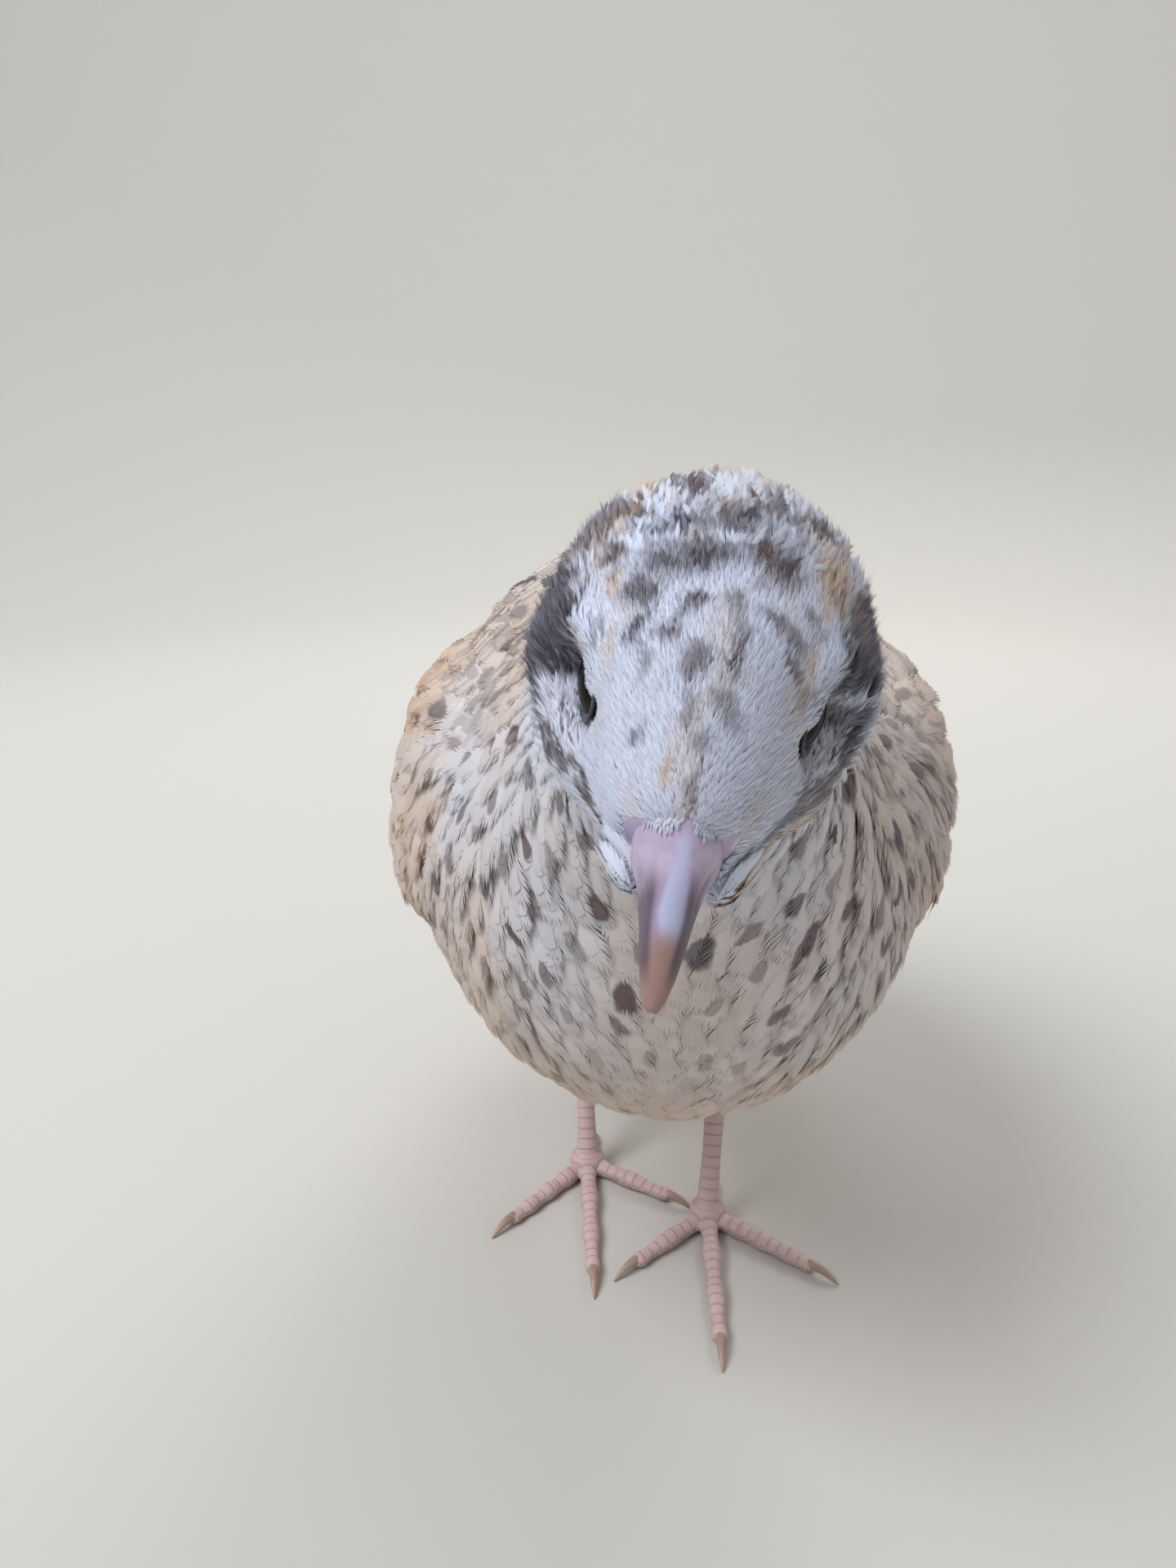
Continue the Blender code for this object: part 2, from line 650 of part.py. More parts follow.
def make_shank(which):
    """The bare lower leg with its scutes, and the pad that the toes grow from."""
    foot = FOOT[which]
    joint, ankle = foot["joint"], foot["ankle"]
    top = joint.lerp(ankle, shank_share(which))
    centres, radii = scuted(top, joint, SHANK_SCUTES, SHANK_RADIUS, SHANK_RADIUS * 1.1)
    shank = tube("shank_" + which, centres, radii, SHANK_SIDES)
    pad = ellipsoid("pad", *hub_shape(joint), segments=12, rings=8)
    for vertex in pad.data.vertices:
        vertex.co.z = max(vertex.co.z, 0)
    return combine(shank, [pad], "UNION")


def hub_shape(joint):
    """Size, place and frame of the flattened ball where toes and shank meet."""
    size = Vector((HUB_RADIUS, HUB_RADIUS, HUB_HEIGHT))
    return size, Vector((joint.x, joint.y, HUB_HEIGHT * 0.85)), Matrix.Identity(4)


def toe_direction(bearing):
    a = math.radians(bearing)
    return Vector((math.sin(a), -math.cos(a), 0))


def make_toe(which, toe):
    """One toe and its claw. The toe lies on the floor and starts clear of the pad."""
    joint = FOOT[which]["joint"]
    way = toe_direction(FOOT[which]["bearings"][toe])
    name = f"{which}_{toe}"
    length = TOE_LENGTHS[toe]
    thickness = 0.8 if toe == "hind" else 1.0
    start = Vector((joint.x, joint.y, 0)) + way * HUB_RADIUS * 0.6
    start.z = TOE_RADIUS * 1.0
    end = start + way * (length - HUB_RADIUS * 0.6)
    end.z = TOE_TIP_RADIUS * 0.8
    centres, radii = scuted(start, end, TOE_SCUTES[toe], TOE_RADIUS * thickness, TOE_TIP_RADIUS * thickness)
    body = tube("toe_" + name, centres, radii, TOE_SIDES, floor=0.0)
    foot_at = Vector((joint.x, joint.y, 0))
    ends = [foot_at - Vector((0, 0, 1)) * MM, foot_at + Vector((0, 0, 6)) * MM]
    clearance = tube("clearance", ends, [HUB_RADIUS + GAP] * 2, 20)
    combine(body, [clearance], "DIFFERENCE")
    claw_centres, claw_radii = [], []
    reach = CLAW_LENGTH * (0.75 if toe == "hind" else 1.0)
    for i in range(5):
        t = i / 4
        rise = 0.5 * MM * math.sin(math.pi * (0.15 + 0.85 * t)) - 0.55 * MM * t
        claw_centres.append(end + way * (GAP + reach * t) + Vector((0, 0, rise)))
        claw_radii.append(TOE_TIP_RADIUS * thickness * 0.82 * (1 - t) ** 0.8 + 0.1 * MM)
    claw = tube("claw_" + name, claw_centres, claw_radii, 6, floor=0.0)
    return body, claw


def make_cuff(which, torso):
    """The feathered end of the leg that shows below the belly, with the torso cleared out of it."""
    foot = FOOT[which]
    joint, ankle = foot["joint"], foot["ankle"]
    end = joint.lerp(ankle, (CUFF_END - joint.z) / (ankle.z - joint.z))
    top = Vector((ankle.x * 1.15, ankle.y - 1.0 * MM, CUFF_TOP))
    centres, radii = [], []
    for i in range(9):
        t = i / 8
        centres.append(top.lerp(end, t))
        radii.append(CUFF_RADIUS_TOP + (CUFF_RADIUS_END - CUFF_RADIUS_TOP) * t**0.8)
    cuff = tube("thigh_" + which, centres, radii, 16)
    grown = torso.copy()
    grown.data = torso.data.copy()
    bpy.context.scene.collection.objects.link(grown)
    normals = [v.normal.copy() for v in grown.data.vertices]
    for vertex, normal in zip(grown.data.vertices, normals):
        vertex.co += normal * GAP
    room = SHANK_RADIUS + SCUTE_STEP + GAP
    sleeve = tube("sleeve", [joint, joint.lerp(ankle, shank_share(which) + 0.03)], [room, room], SHANK_SIDES)
    return combine(cuff, [grown, sleeve], "DIFFERENCE")


def shank_share(which):
    """How far up from joint to ankle the shank's solid reaches, into the cuff."""
    foot = FOOT[which]
    return (CUFF_END + SHANK_SUNK - foot["joint"].z) / (foot["ankle"].z - foot["joint"].z)


def dress(obj, material):
    obj.data.transform(Matrix.Translation(-MIDDLE))
    obj.data.materials.clear()
    obj.data.materials.append(material)
    obj.data.shade_smooth()
    obj.data.set_sharp_from_angle(angle=math.radians(40))


def main():
    clear_scene()
    materials = {name: make_material(name) for name in COLOURS}
    head, neck, torso, stump = make_trunk()
    finish_head(head)
    upper, lower = make_bill()
    surface = surface_of(torso)
    dressed = {"plumage": [head, neck, torso], "bill": [upper, lower]}
    dressed["feather"] = [make_wing(surface, side) for side in (1, -1)] + [make_tail(stump)]
    dressed["eye"] = [make_eye("eye_left", 1, EYE_RADIUS), make_eye("eye_right", -1, EYE_RADIUS)]
    dressed["leg"], dressed["claw"] = [], []
    for which in FOOT:
        dressed["plumage"].append(make_cuff(which, torso))
        dressed["leg"].append(make_shank(which))
        for toe in TOE_LENGTHS:
            body, claw = make_toe(which, toe)
            dressed["leg"].append(body)
            dressed["claw"].append(claw)
    for name, objects in dressed.items():
        for obj in objects:
            dress(obj, materials[name])


main()
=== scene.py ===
"""The looks of a life-size coturnix quail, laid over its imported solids.

The bird faces -Y, its left side is +X and the floor is z = 0. Shapes are drawn in millimetres and stored in
metres. One skin lies inside the flesh solids by the coat's depth. Over it lie short tufts on the head,
contour feathers on the neck and body, and long vanes on the wings and tail. Every feather is a thin mesh
with a frayed edge.
"""

import math
import random
from functools import partialmethod

import bmesh
import bpy
import numpy as np
from mathutils import Matrix, Vector
from mathutils.bvhtree import BVHTree
from mathutils.kdtree import KDTree


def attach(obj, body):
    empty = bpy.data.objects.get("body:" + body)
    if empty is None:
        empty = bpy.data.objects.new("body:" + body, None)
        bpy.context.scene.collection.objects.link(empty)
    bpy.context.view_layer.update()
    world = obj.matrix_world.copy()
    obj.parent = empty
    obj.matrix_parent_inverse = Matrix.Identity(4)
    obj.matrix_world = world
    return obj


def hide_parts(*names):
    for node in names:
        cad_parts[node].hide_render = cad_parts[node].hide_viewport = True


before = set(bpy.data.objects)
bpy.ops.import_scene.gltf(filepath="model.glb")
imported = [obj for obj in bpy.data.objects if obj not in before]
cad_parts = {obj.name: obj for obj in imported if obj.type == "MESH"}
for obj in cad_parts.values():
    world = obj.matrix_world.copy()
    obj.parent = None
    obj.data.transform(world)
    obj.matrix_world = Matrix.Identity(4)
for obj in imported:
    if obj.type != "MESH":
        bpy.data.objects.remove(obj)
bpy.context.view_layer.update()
MM = 0.001

# Sizes shared with the solids
MIDDLE_Y = 4.1  # mm from the solids' drawing origin to the row's origin
HEAD_AT = Vector((-1.9, -63.0 - MIDDLE_Y, 92.6)) * MM
HEAD = (
    Matrix.Translation(HEAD_AT)
    @ Matrix.Rotation(math.radians(-6), 4, "Z")
    @ Matrix.Rotation(math.radians(8), 4, "Y")
    @ Matrix.Rotation(math.radians(37), 4, "X")
)
HEAD_INVERSE = HEAD.inverted()
TO_METRES = Matrix.Diagonal((MM, MM, MM, 1))
BODY_ROWS = (  # x, y, z, half width, height above and below, in mm, from the tail to inside the head
    (0, 72.5, 47.0, 3.0, 1.2, 1.5),
    (0, 68.0, 48.8, 8.0, 3.6, 4.4),
    (0, 60.0, 52.0, 12.5, 7.6, 8.5),
    (0, 49.0, 55.5, 18.0, 14.5, 14.0),
    (0, 36.0, 59.0, 24.5, 23.5, 22.5),
    (0, 20.0, 61.5, 28.8, 32.5, 30.0),
    (0, 4.0, 63.0, 30.3, 36.0, 34.0),
    (0, -11.0, 65.5, 30.3, 35.0, 33.8),
    (0, -24.0, 70.0, 27.5, 30.0, 31.0),
    (-0.3, -33.5, 76.0, 22.5, 25.0, 25.0),
    (-0.8, -41.0, 82.5, 17.5, 19.5, 18.0),
    (-1.2, -47.5, 89.0, 13.5, 14.0, 13.5),
    (-1.5, -53.0, 94.0, 9.0, 8.5, 9.0),
)
HEAD_ROWS = (  # y, centre z, half width, height above and below, in mm, in the head's frame
    (-10.4, -1.6, 2.8, 2.6, 2.6),
    (-9.4, -1.7, 3.9, 3.9, 4.9),
    (-7.6, -1.5, 5.3, 5.4, 7.8),
    (-4.6, -1.2, 6.9, 7.6, 8.1),
    (-1.0, -0.8, 8.5, 9.1, 9.3),
    (3.0, -1.2, 10.2, 9.8, 10.4),
    (7.0, -1.8, 9.9, 10.4, 10.6),
    (10.5, -2.0, 10.4, 10.0, 10.6),
    (14.0, -2.2, 10.2, 9.3, 10.0),
    (17.0, -2.2, 6.8, 7.4, 7.8),
    (18.6, -2.4, 2.5, 3.0, 3.0),
)
HEAD_BULGES = (  # ear coverts and jowls: y, z, spread in y and z, height, in mm
    (6.1, -4.7, 5.0, 5.0, 3.1),
    (-2.5, -8.1, 4.2, 4.2, 5.1),
)
EYE_RADIUS, EYE_OUT, EYE_BACK = 4.1, 4.3, 0.6
EYE_AXIS = Vector((0.97, -0.20, 0.13)).normalized()
LID_RADIUS = 2.6
LID_BACK = 0.25  # how far the lids' middle lies behind the eyeball's
ORBIT_DEPTH, ORBIT_SPREAD = 1.3, 3.0
GAPE_LOBE = (1.5, 5.0, 2.2)
GAPE_LOBES_AT = {1: (3.65, -7.9, -5.3), -1: (-3.1, -8.1, -5.2)}
WING_SWELL = 3.0  # how far the body swells under the folded wings
BODY_DEPTH, HEAD_DEPTH, LEG_DEPTH = 2.2, 0.4, 0.9  # how far the skin lies inside the solids


# Helpers
def spline(rows, share):
    """The row at share 0 to 1 along a smooth curve through the rows."""
    place = share * (len(rows) - 1)
    i = min(int(place), len(rows) - 2)
    t = place - i
    four = (rows[max(i - 1, 0)], rows[i], rows[i + 1], rows[min(i + 2, len(rows) - 1)])
    return [
        0.5 * (2 * b + (c - a) * t + (2 * a - 5 * b + 4 * c - d) * t * t + (3 * b - a - 3 * c + d) * t**3)
        for a, b, c, d in zip(*four)
    ]


def ease(low, high, value):
    """0 at low and 1 at high, smooth between them. low may be the larger one."""
    t = np.clip((value - low) / (high - low), 0, 1)
    return t * t * (3 - 2 * t)


def unit(vectors):
    return vectors / np.maximum(np.linalg.norm(vectors, axis=-1, keepdims=True), 1e-12)


def in_head(x, y, z):
    """The world point, in metres, of a place in the head's frame, in mm."""
    return HEAD @ (Vector((x, y, z)) * MM)


def to_head(points):
    """World points in the head's frame, in mm."""
    m = np.array(HEAD_INVERSE)
    return (points @ m[:3, :3].T + m[:3, 3]) / MM


def head_distance(points):
    """1 on the head's surface, larger further out."""
    x, y, z = to_head(points).T
    return np.sqrt((x / 14.0) ** 2 + ((y - 4.5) / 15.0) ** 2 + ((z + 1.0) / 11.5) ** 2)


def new_object(name, mesh, material, slot=None, replaces=()):
    """A visible object. One with a slot is a piece of the bird."""
    mesh.materials.append(material)
    obj = bpy.data.objects.new(name, mesh)
    bpy.context.scene.collection.objects.link(obj)
    if slot:
        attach(obj, "root")
        if replaces:
            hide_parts(*replaces)
    return obj


def mesh_of(bm, name):
    """A smooth mesh of a bmesh, which is freed."""
    mesh = bpy.data.meshes.new(name)
    bm.to_mesh(mesh)
    bm.free()
    mesh.shade_smooth()
    return mesh


def paint(mesh, name, values):
    """Store values (n, 4) of the mesh's points as a colour attribute."""
    attribute = mesh.attributes.new(name, "FLOAT_COLOR", "POINT")
    attribute.data.foreach_set("color", np.ascontiguousarray(values, np.float32).ravel())


def mesh_from_arrays(name, points, triangles, uvs=None, colours=None):
    """A smooth mesh from numpy arrays. uvs and colours are {name: values per point}."""
    mesh = bpy.data.meshes.new(name)
    count = len(triangles)
    mesh.vertices.add(len(points))
    mesh.vertices.foreach_set("co", np.ascontiguousarray(points, np.float32).ravel())
    mesh.loops.add(count * 3)
    corners = np.ascontiguousarray(triangles, np.int32).ravel()
    mesh.loops.foreach_set("vertex_index", corners)
    mesh.polygons.add(count)
    mesh.polygons.foreach_set("loop_start", np.arange(0, count * 3, 3, dtype=np.int32))
    mesh.polygons.foreach_set("loop_total", np.full(count, 3, np.int32))
    mesh.update(calc_edges=True)
    for layer, values in (uvs or {}).items():
        uv = mesh.uv_layers.new(name=layer)
        uv.data.foreach_set("uv", np.ascontiguousarray(values[corners], np.float32).ravel())
    for layer, values in (colours or {}).items():
        paint(mesh, layer, values)
    mesh.shade_smooth()
    return mesh


def vectors_of(mesh, what):
    out = np.empty(len(mesh.vertices) * 3)
    mesh.vertices.foreach_get(what, out)
    return out.reshape(-1, 3)


def points_of(mesh):
    return vectors_of(mesh, "co")


def normals_of(mesh):
    return vectors_of(mesh, "normal")


def move_points(mesh, points):
    mesh.vertices.foreach_set("co", points.astype(np.float32).ravel())
    mesh.update()


def loft(rings):
    """A closed mesh through rings of points."""
    bm = bmesh.new()
    rows = [[bm.verts.new(p) for p in ring] for ring in rings]
    sides = len(rows[0])
    for low, high in zip(rows, rows[1:]):
        for k in range(sides):
            bm.faces.new((low[k], low[(k + 1) % sides], high[(k + 1) % sides], high[k]))
    bm.faces.new(rows[0])
    bm.faces.new(rows[-1])
    bmesh.ops.recalc_face_normals(bm, faces=bm.faces[:])
    return mesh_of(bm, "loft")


def ball(matrix, around=24, along=16, radius=1.0):
    bm = bmesh.new()
    bmesh.ops.create_uvsphere(bm, u_segments=around, v_segments=along, radius=radius)
    bm.transform(matrix)
    return bm


def remeshed(meshes, voxel, smoothing):
    """One closed mesh of the joined ones, smoothed."""
    bm = bmesh.new()
    for mesh in meshes:
        bm.from_mesh(mesh)
    obj = bpy.data.objects.new("joined", mesh_of(bm, "joined"))
    bpy.context.scene.collection.objects.link(obj)
    modifier = obj.modifiers.new("remesh", "REMESH")
    modifier.mode = "VOXEL"
    modifier.voxel_size = voxel
    graph = bpy.context.evaluated_depsgraph_get()
    closed = bpy.data.meshes.new_from_object(obj.evaluated_get(graph))
    bpy.data.objects.remove(obj)
    bm = bmesh.new()
    bm.from_mesh(closed)
    bmesh.ops.triangulate(bm, faces=bm.faces[:])
    every_axis = {"use_axis_x": True, "use_axis_y": True, "use_axis_z": True}
    for _ in range(smoothing):
        bmesh.ops.smooth_vert(bm, verts=bm.verts[:], factor=0.5, **every_axis)
    return mesh_of(bm, "remeshed")


# The spine, and the lie of the plumage
def spine_points(in_body=120, in_skull=30):
    """Samples along the bird's middle, from the tail to the bill."""
    rows = [spline(BODY_ROWS, i / (in_body - 1)) for i in range(in_body)]
    body = [Vector((row[0], row[1] - MIDDLE_Y, row[2])) * MM for row in rows]
    return np.array(body + [in_head(0, 6.0 - 16.0 * i / (in_skull - 1), -0.8) for i in range(in_skull)])


SPINE = spine_points()
SPINE_LENGTH = np.concatenate([[0], np.cumsum(np.linalg.norm(np.diff(SPINE, axis=0), axis=1))])
SPINE_WAY = unit(np.gradient(SPINE, axis=0))


def spine_place(points, batch=4000):
    """For each point: the nearest spine sample."""
    best = np.zeros(len(points), int)
    for start in range(0, len(points), batch):
        part = points[start : start + batch]
        best[start : start + batch] = ((part[:, None] - SPINE[None]) ** 2).sum(2).argmin(1)
    return best


def around_spine(points, place):
    """Turn round the spine: 0 at the back's middle, -1 and 1 at the belly's, above 0 on the bird's left."""
    way = SPINE_WAY[place]
    side = unit(np.array([1.0, 0, 0]) - way * way[:, :1])
    above = np.cross(side, way)
    above[above[:, 2] < 0] *= -1
    offset = points - SPINE[place]
    return np.arctan2((offset * side).sum(1), (offset * above).sum(1)) / math.pi


def flow(points, normals):
    """The way the plumage lies: away from the bill, and on the breast also down and inwards."""
    back = unit(-SPINE_WAY[spine_place(points)])
    front = ease(0.15, 0.75, -normals[:, 1]) * ease(34, 44, points[:, 2] / MM)
    inwards = -0.95 * np.tanh((points[:, 0] + 0.002) / 0.013)
    fall = np.stack([inwards, np.zeros(len(points)), np.full(len(points), -1.0)], 1)
    back = unit(back * (1 - front[:, None]) + unit(fall) * front[:, None])
    head_way = np.array(HEAD.to_3x3() @ Vector((0, 1, 0)))
    weight = ease(1.5, 1.1, head_distance(points))[:, None]
    way = back * (1 - weight) + head_way[None] * weight
    return unit(way - normals * (way * normals).sum(1, keepdims=True))


# The skin
def body_rings(count=60, sides=64):
    """Rings square to the body's middle line."""
    rings = []
    for i in range(count):
        share = i / (count - 1)
        x, y, z, wide, up, down = spline(BODY_ROWS, share)
        ahead = Vector(spline(BODY_ROWS, min(share + 0.01, 1))[:3])
        behind = Vector(spline(BODY_ROWS, max(share - 0.01, 0))[:3])
        side = Vector((1, 0, 0))
        above = side.cross((ahead - behind).normalized()).normalized()
        if above.z < 0:
            above.negate()
        ring = []
        for k in range(sides):
            a = math.tau * k / sides
            height = up if math.sin(a) > 0 else down
            at = Vector((x, y - MIDDLE_Y, z)) + side * wide * math.cos(a) + above * height * math.sin(a)
            ring.append(at * MM)
        rings.append(ring)
    return rings


def head_half_width(y, high, wide, sine, cosine):
    """How far the head reaches sideways, with its bulges and with the hollow round the eye."""
    across = math.copysign(abs(cosine) ** (1.15 if sine > 0 else 0.85), cosine)
    x = wide * across
    for by, bz, sy, sz, amount in HEAD_BULGES:
        near = math.exp(-(((y - by) / sy) ** 2) - ((high - bz) / sz) ** 2)
        x += math.copysign(math.sqrt(abs(cosine)), across) * amount * near
    dip = ORBIT_DEPTH * math.exp(-((math.hypot(y, high) / ORBIT_SPREAD) ** 2))
    return x - math.copysign(dip, x) if abs(x) > dip else x


def head_rings(count=64, sides=80):
    rings = []
    for i in range(count):
        y, z, wide, up, down = spline(HEAD_ROWS, i / (count - 1))
        ring = []
        for k in range(sides):
            sine, cosine = math.sin(math.tau * k / sides), math.cos(math.tau * k / sides)
            high = z + (up if sine > 0 else down) * sine
            ring.append(in_head(head_half_width(y, high, wide, sine, cosine), y, high))
        rings.append(ring)
    return rings


def thigh_meshes():
    """The thigh solids, a little swollen."""
    out = []
    for which in ("thigh_left", "thigh_right"):
        bm = bmesh.new()
        bm.from_mesh(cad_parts[which].data)
        bmesh.ops.remove_doubles(bm, verts=bm.verts[:], dist=1e-6)
        bm.normal_update()
        for vert, normal in [(v, v.normal.copy()) for v in bm.verts]:
            vert.co += normal * 0.35 * MM
        out.append(mesh_of(bm, which))
    return out


def gape_lobe(side):
    """The feathered skin that runs out beside the bill to the corner of the mouth."""
    spin = Matrix.Rotation(math.radians(side * -6), 4, "Z") @ Matrix.Rotation(math.radians(18), 4, "X")
    place = HEAD @ TO_METRES @ Matrix.Translation(GAPE_LOBES_AT[side])
    return mesh_of(ball(place @ spin @ Matrix.Diagonal((*GAPE_LOBE, 1))), "lobe")


def wing_cover(points):
    """0 to 1 under the folded wings: how far their pads stand off the body's side."""
    x, y, z = (points / MM).T
    y = y + MIDDLE_Y
    low = np.interp(y, (-34, -20, 15, 54), (63, 58, 55, 55))
    high = np.interp(y, (-34, -5, 32, 52), (79, 85, 83, 63))
    cover = ease(-37, -14, y) * ease(56, 40, y)
    return cover * ease(low - 1.5, low + 2.5, z) * ease(high + 3, high - 4, z) * (np.abs(x) > 10)


def coat_depth(points):
    """How far the skin lies inside the solids, in mm."""
    near = ease(1.6, 1.1, head_distance(points))
    leg = ease(34, 27, points[:, 2] / MM) * (np.abs(points[:, 1]) < 0.03)
    bill = ease(-6.0, -9.2, to_head(points)[:, 1])
    depth = BODY_DEPTH * (1 - near) + (HEAD_DEPTH - 0.25 * bill) * near
    return depth * (1 - leg) + LEG_DEPTH * leg


def eye_place(local):
    """Per point: distance from the nearer eye's axis, height along it, and how far it lies brow-wards."""
    side = np.where(local[:, 0] > 0, 1.0, -1.0)
    axis = np.stack([side * EYE_AXIS.x, 0 * side + EYE_AXIS.y, 0 * side + EYE_AXIS.z], 1)
    offset = local - np.stack([side * EYE_OUT, 0 * side + EYE_BACK + LID_BACK, 0 * side], 1)
    along = (offset * axis).sum(1)
    across = offset - along[:, None] * axis
    radial = np.linalg.norm(across, axis=1)
    return radial, along, across[:, 2] / np.maximum(radial, 1e-6)


def eye_socket(points, normals):
    """Points dipped to the eyeball behind and under each eye, and raised to a ridge over it."""
    local = to_head(points)
    radial, along, brow = eye_place(local)
    eyeball = np.sqrt(np.maximum(EYE_RADIUS**2 - radial**2, 0))
    dip = np.maximum(along - eyeball + 0.3, 0) * ease(4.0, 3.0, radial) * ease(0.55, 0.15, brow) * (along > 0)
    side = np.where(local[:, 0] > 0, 1.0, -1.0)[:, None]
    axis = np.array(HEAD.to_3x3())
    inward = -(np.array(EYE_AXIS) * np.concatenate([side, side**2, side**2], 1)) @ axis.T
    ridge = 0.7 * np.exp(-(((radial - 3.5) / 0.9) ** 2)) * ease(0.35, 0.8, brow) * (along > 0)
    return points + inward * (dip * MM)[:, None] + normals * (ridge * MM)[:, None]


def build_skin():
    """One skin for head, neck, body and thighs, swollen under the wings and drawn in by the coat's depth."""
    parts = [loft(body_rings()), loft(head_rings()), *thigh_meshes(), gape_lobe(1), gape_lobe(-1)]
    skin = remeshed(parts, 0.7 * MM, 7)
    points, normals = points_of(skin), normals_of(skin)
    moved = points + normals * ((WING_SWELL * wing_cover(points) - coat_depth(points)) * MM)[:, None]
    move_points(skin, eye_socket(moved, normals))
    return skin


# Markings, in the head's frame, in mm
# Blotches on the crown: x, y (from the bill backwards), half width, half length, strength, warmth.
CROWN_BLOTCHES = (
    (-1.9, 4.9, 3.3, 1.8, 0.85, 0.06),
    (-2.7, 8.2, 2.6, 0.8, 0.95, 0.00),
    (0.6, 9.3, 2.6, 1.3, 0.90, 0.05),
    (3.1, 6.0, 2.0, 2.1, 0.90, 0.40),
    (6.2, 12.1, 1.5, 1.2, 1.00, 0.10),
    (-6.8, 7.2, 0.9, 0.9, 0.80, 0.60),
    (-8.4, 10.4, 0.9, 0.8, 0.75, 0.70),
    (-3.0, 10.4, 1.2, 0.7, 0.75, 0.40),
    (-4.7, 2.3, 1.2, 1.3, 0.85, 0.10),
    (-4.3, -0.2, 0.5, 1.3, 0.95, 0.15),
    (-1.8, 0.9, 0.8, 0.9, 0.85, 0.20),
    (-2.3, -0.8, 0.9, 0.8, 0.95, 0.25),
    (1.0, 1.4, 0.9, 1.0, 0.80, 0.15),
    (4.3, 1.0, 1.5, 0.9, 0.85, 0.45),
    (5.9, 3.0, 0.7, 0.7, 0.85, 0.60),
    (-1.1, -2.6, 0.9, 0.9, 0.91, 0.35),
    (1.5, -1.8, 0.5, 1.5, 0.91, 0.15),
    (-3.9, -2.2, 0.4, 1.4, 0.70, 0.30),
    (5.1, -0.8, 0.5, 0.8, 0.95, 0.40),
    (-1.0, -5.0, 0.5, 0.8, 0.56, 0.30),
    (1.4, -4.7, 1.2, 0.7, 0.56, 0.50),
    (0.2, -6.9, 0.6, 0.8, 0.63, 0.60),
    (-3.7, -5.8, 0.5, 0.35, 0.70, 0.10),
    (2.4, 3.3, 0.8, 0.8, 0.60, 0.50),
    (0.3, -8.7, 0.35, 0.9, 0.63, 0.60),
)
# Outlines of the dark ear patches on each side: y and z.
EAR_PATCHES = {
    -1: (
        (0.0, 2.6), (1.2, 3.4), (4.0, 3.3), (8.8, 1.4), (12.6, -0.2), (12.8, -1.2), (11.0, -3.5), (7.5, -5.6),
        (4.4, -5.4), (3.0, -3.6), (2.3, -1.2), (2.3, 0.2), (1.3, 1.7),
    ),
    1: (
        (-1.4, 1.8), (0.2, 3.1), (2.2, 3.9), (5.0, 3.8), (6.8, 3.1), (9.4, 2.2), (11.2, 0.2), (10.5, -3.0),
        (8.0, -5.0), (6.0, -3.2), (4.2, -0.8), (2.4, 0.8), (0.6, 1.6),
    ),
}
# The line from behind the cheek to the gape on each side: y, z and half thickness.
GAPE_LINES = {
    -1: (
        (0.8, -5.0, 0.5), (-1.8, -4.6, 0.5), (-3.4, -4.4, 0.9), (-5.0, -3.6, 1.0), (-6.0, -4.3, 0.75),
        (-7.2, -4.3, 0.5), (-8.2, -4.7, 0.22), (-9.4, -5.3, 0.12),
    ),
    1: (
        (0.2, -5.6, 0.8), (-2.3, -4.3, 1.0), (-4.0, -3.9, 1.0), (-5.3, -4.2, 0.8), (-6.4, -4.6, 0.6),
        (-7.6, -4.7, 0.42), (-9.4, -5.3, 0.2),
    ),
}
# The lower edge of the pale cheek on each side: y and z.
CHEEK_EDGES = {
    -1: ((3.4, -4.2), (1.6, -5.2), (-0.4, -5.8), (-2.2, -5.6)),
    1: ((3.4, -2.0), (2.0, -3.4), (0.6, -4.4)),
}
# Blobs over the brows and the stain on the forehead: x, y, half width, half length.
LEFT_BROW_BUFF = (7.6, 8.3, 2.0, 2.9)
RIGHT_BROW_BUFF = (-8.6, 9.0, 1.2, 3.2)
GOLD_STAIN = (-1.55, -8.0, 0.36, 0.85)
# Where the feathers end on the bill: x and y. The bare base reaches back at its corners and along the ridge.
FEATHER_EDGE = (
    (-3.7, -9.2), (-3.2, -9.5), (-2.4, -9.9), (-1.7, -10.4), (-0.9, -10.9),
    (-0.3, -10.6), (0.05, -9.8), (0.3, -8.9), (0.55, -9.8), (0.95, -10.7),
    (1.5, -10.8), (2.1, -10.3), (2.8, -9.8), (3.4, -9.3), (3.8, -9.0),
)
# Flecks on the left and the right cheek: spans in which they fade in or out, sideways, in y and in z, in mm
CHEEK_FLECKS = (
    ((6.4, 7.4), (-5.6, -3.8), (3.6, 2.4), (3.6, 2.6), (-5.2, -4.0)),
    ((7.2, 8.2), (-3.8, -2.2), (2.2, 1.2), (3.0, 2.0), (-4.4, -3.0)),
)


def blob(x, y, cx, cy, wide, long):
    return np.exp(-((((x - cx) / wide) ** 2 + ((y - cy) / long) ** 2) ** 2) * 0.8)


def ripple(local, seed, scale):
    """Smooth noise from about -1 to 1, a sum of waves."""
    draw = np.random.default_rng(seed)
    out = np.zeros(len(local))
    for _ in range(9):
        way = draw.normal(size=3)
        way /= np.linalg.norm(way)
        out += np.sin((local @ way) * draw.uniform(0.7, 1.9) / scale + draw.uniform(0, math.tau))
    return out / 4.5


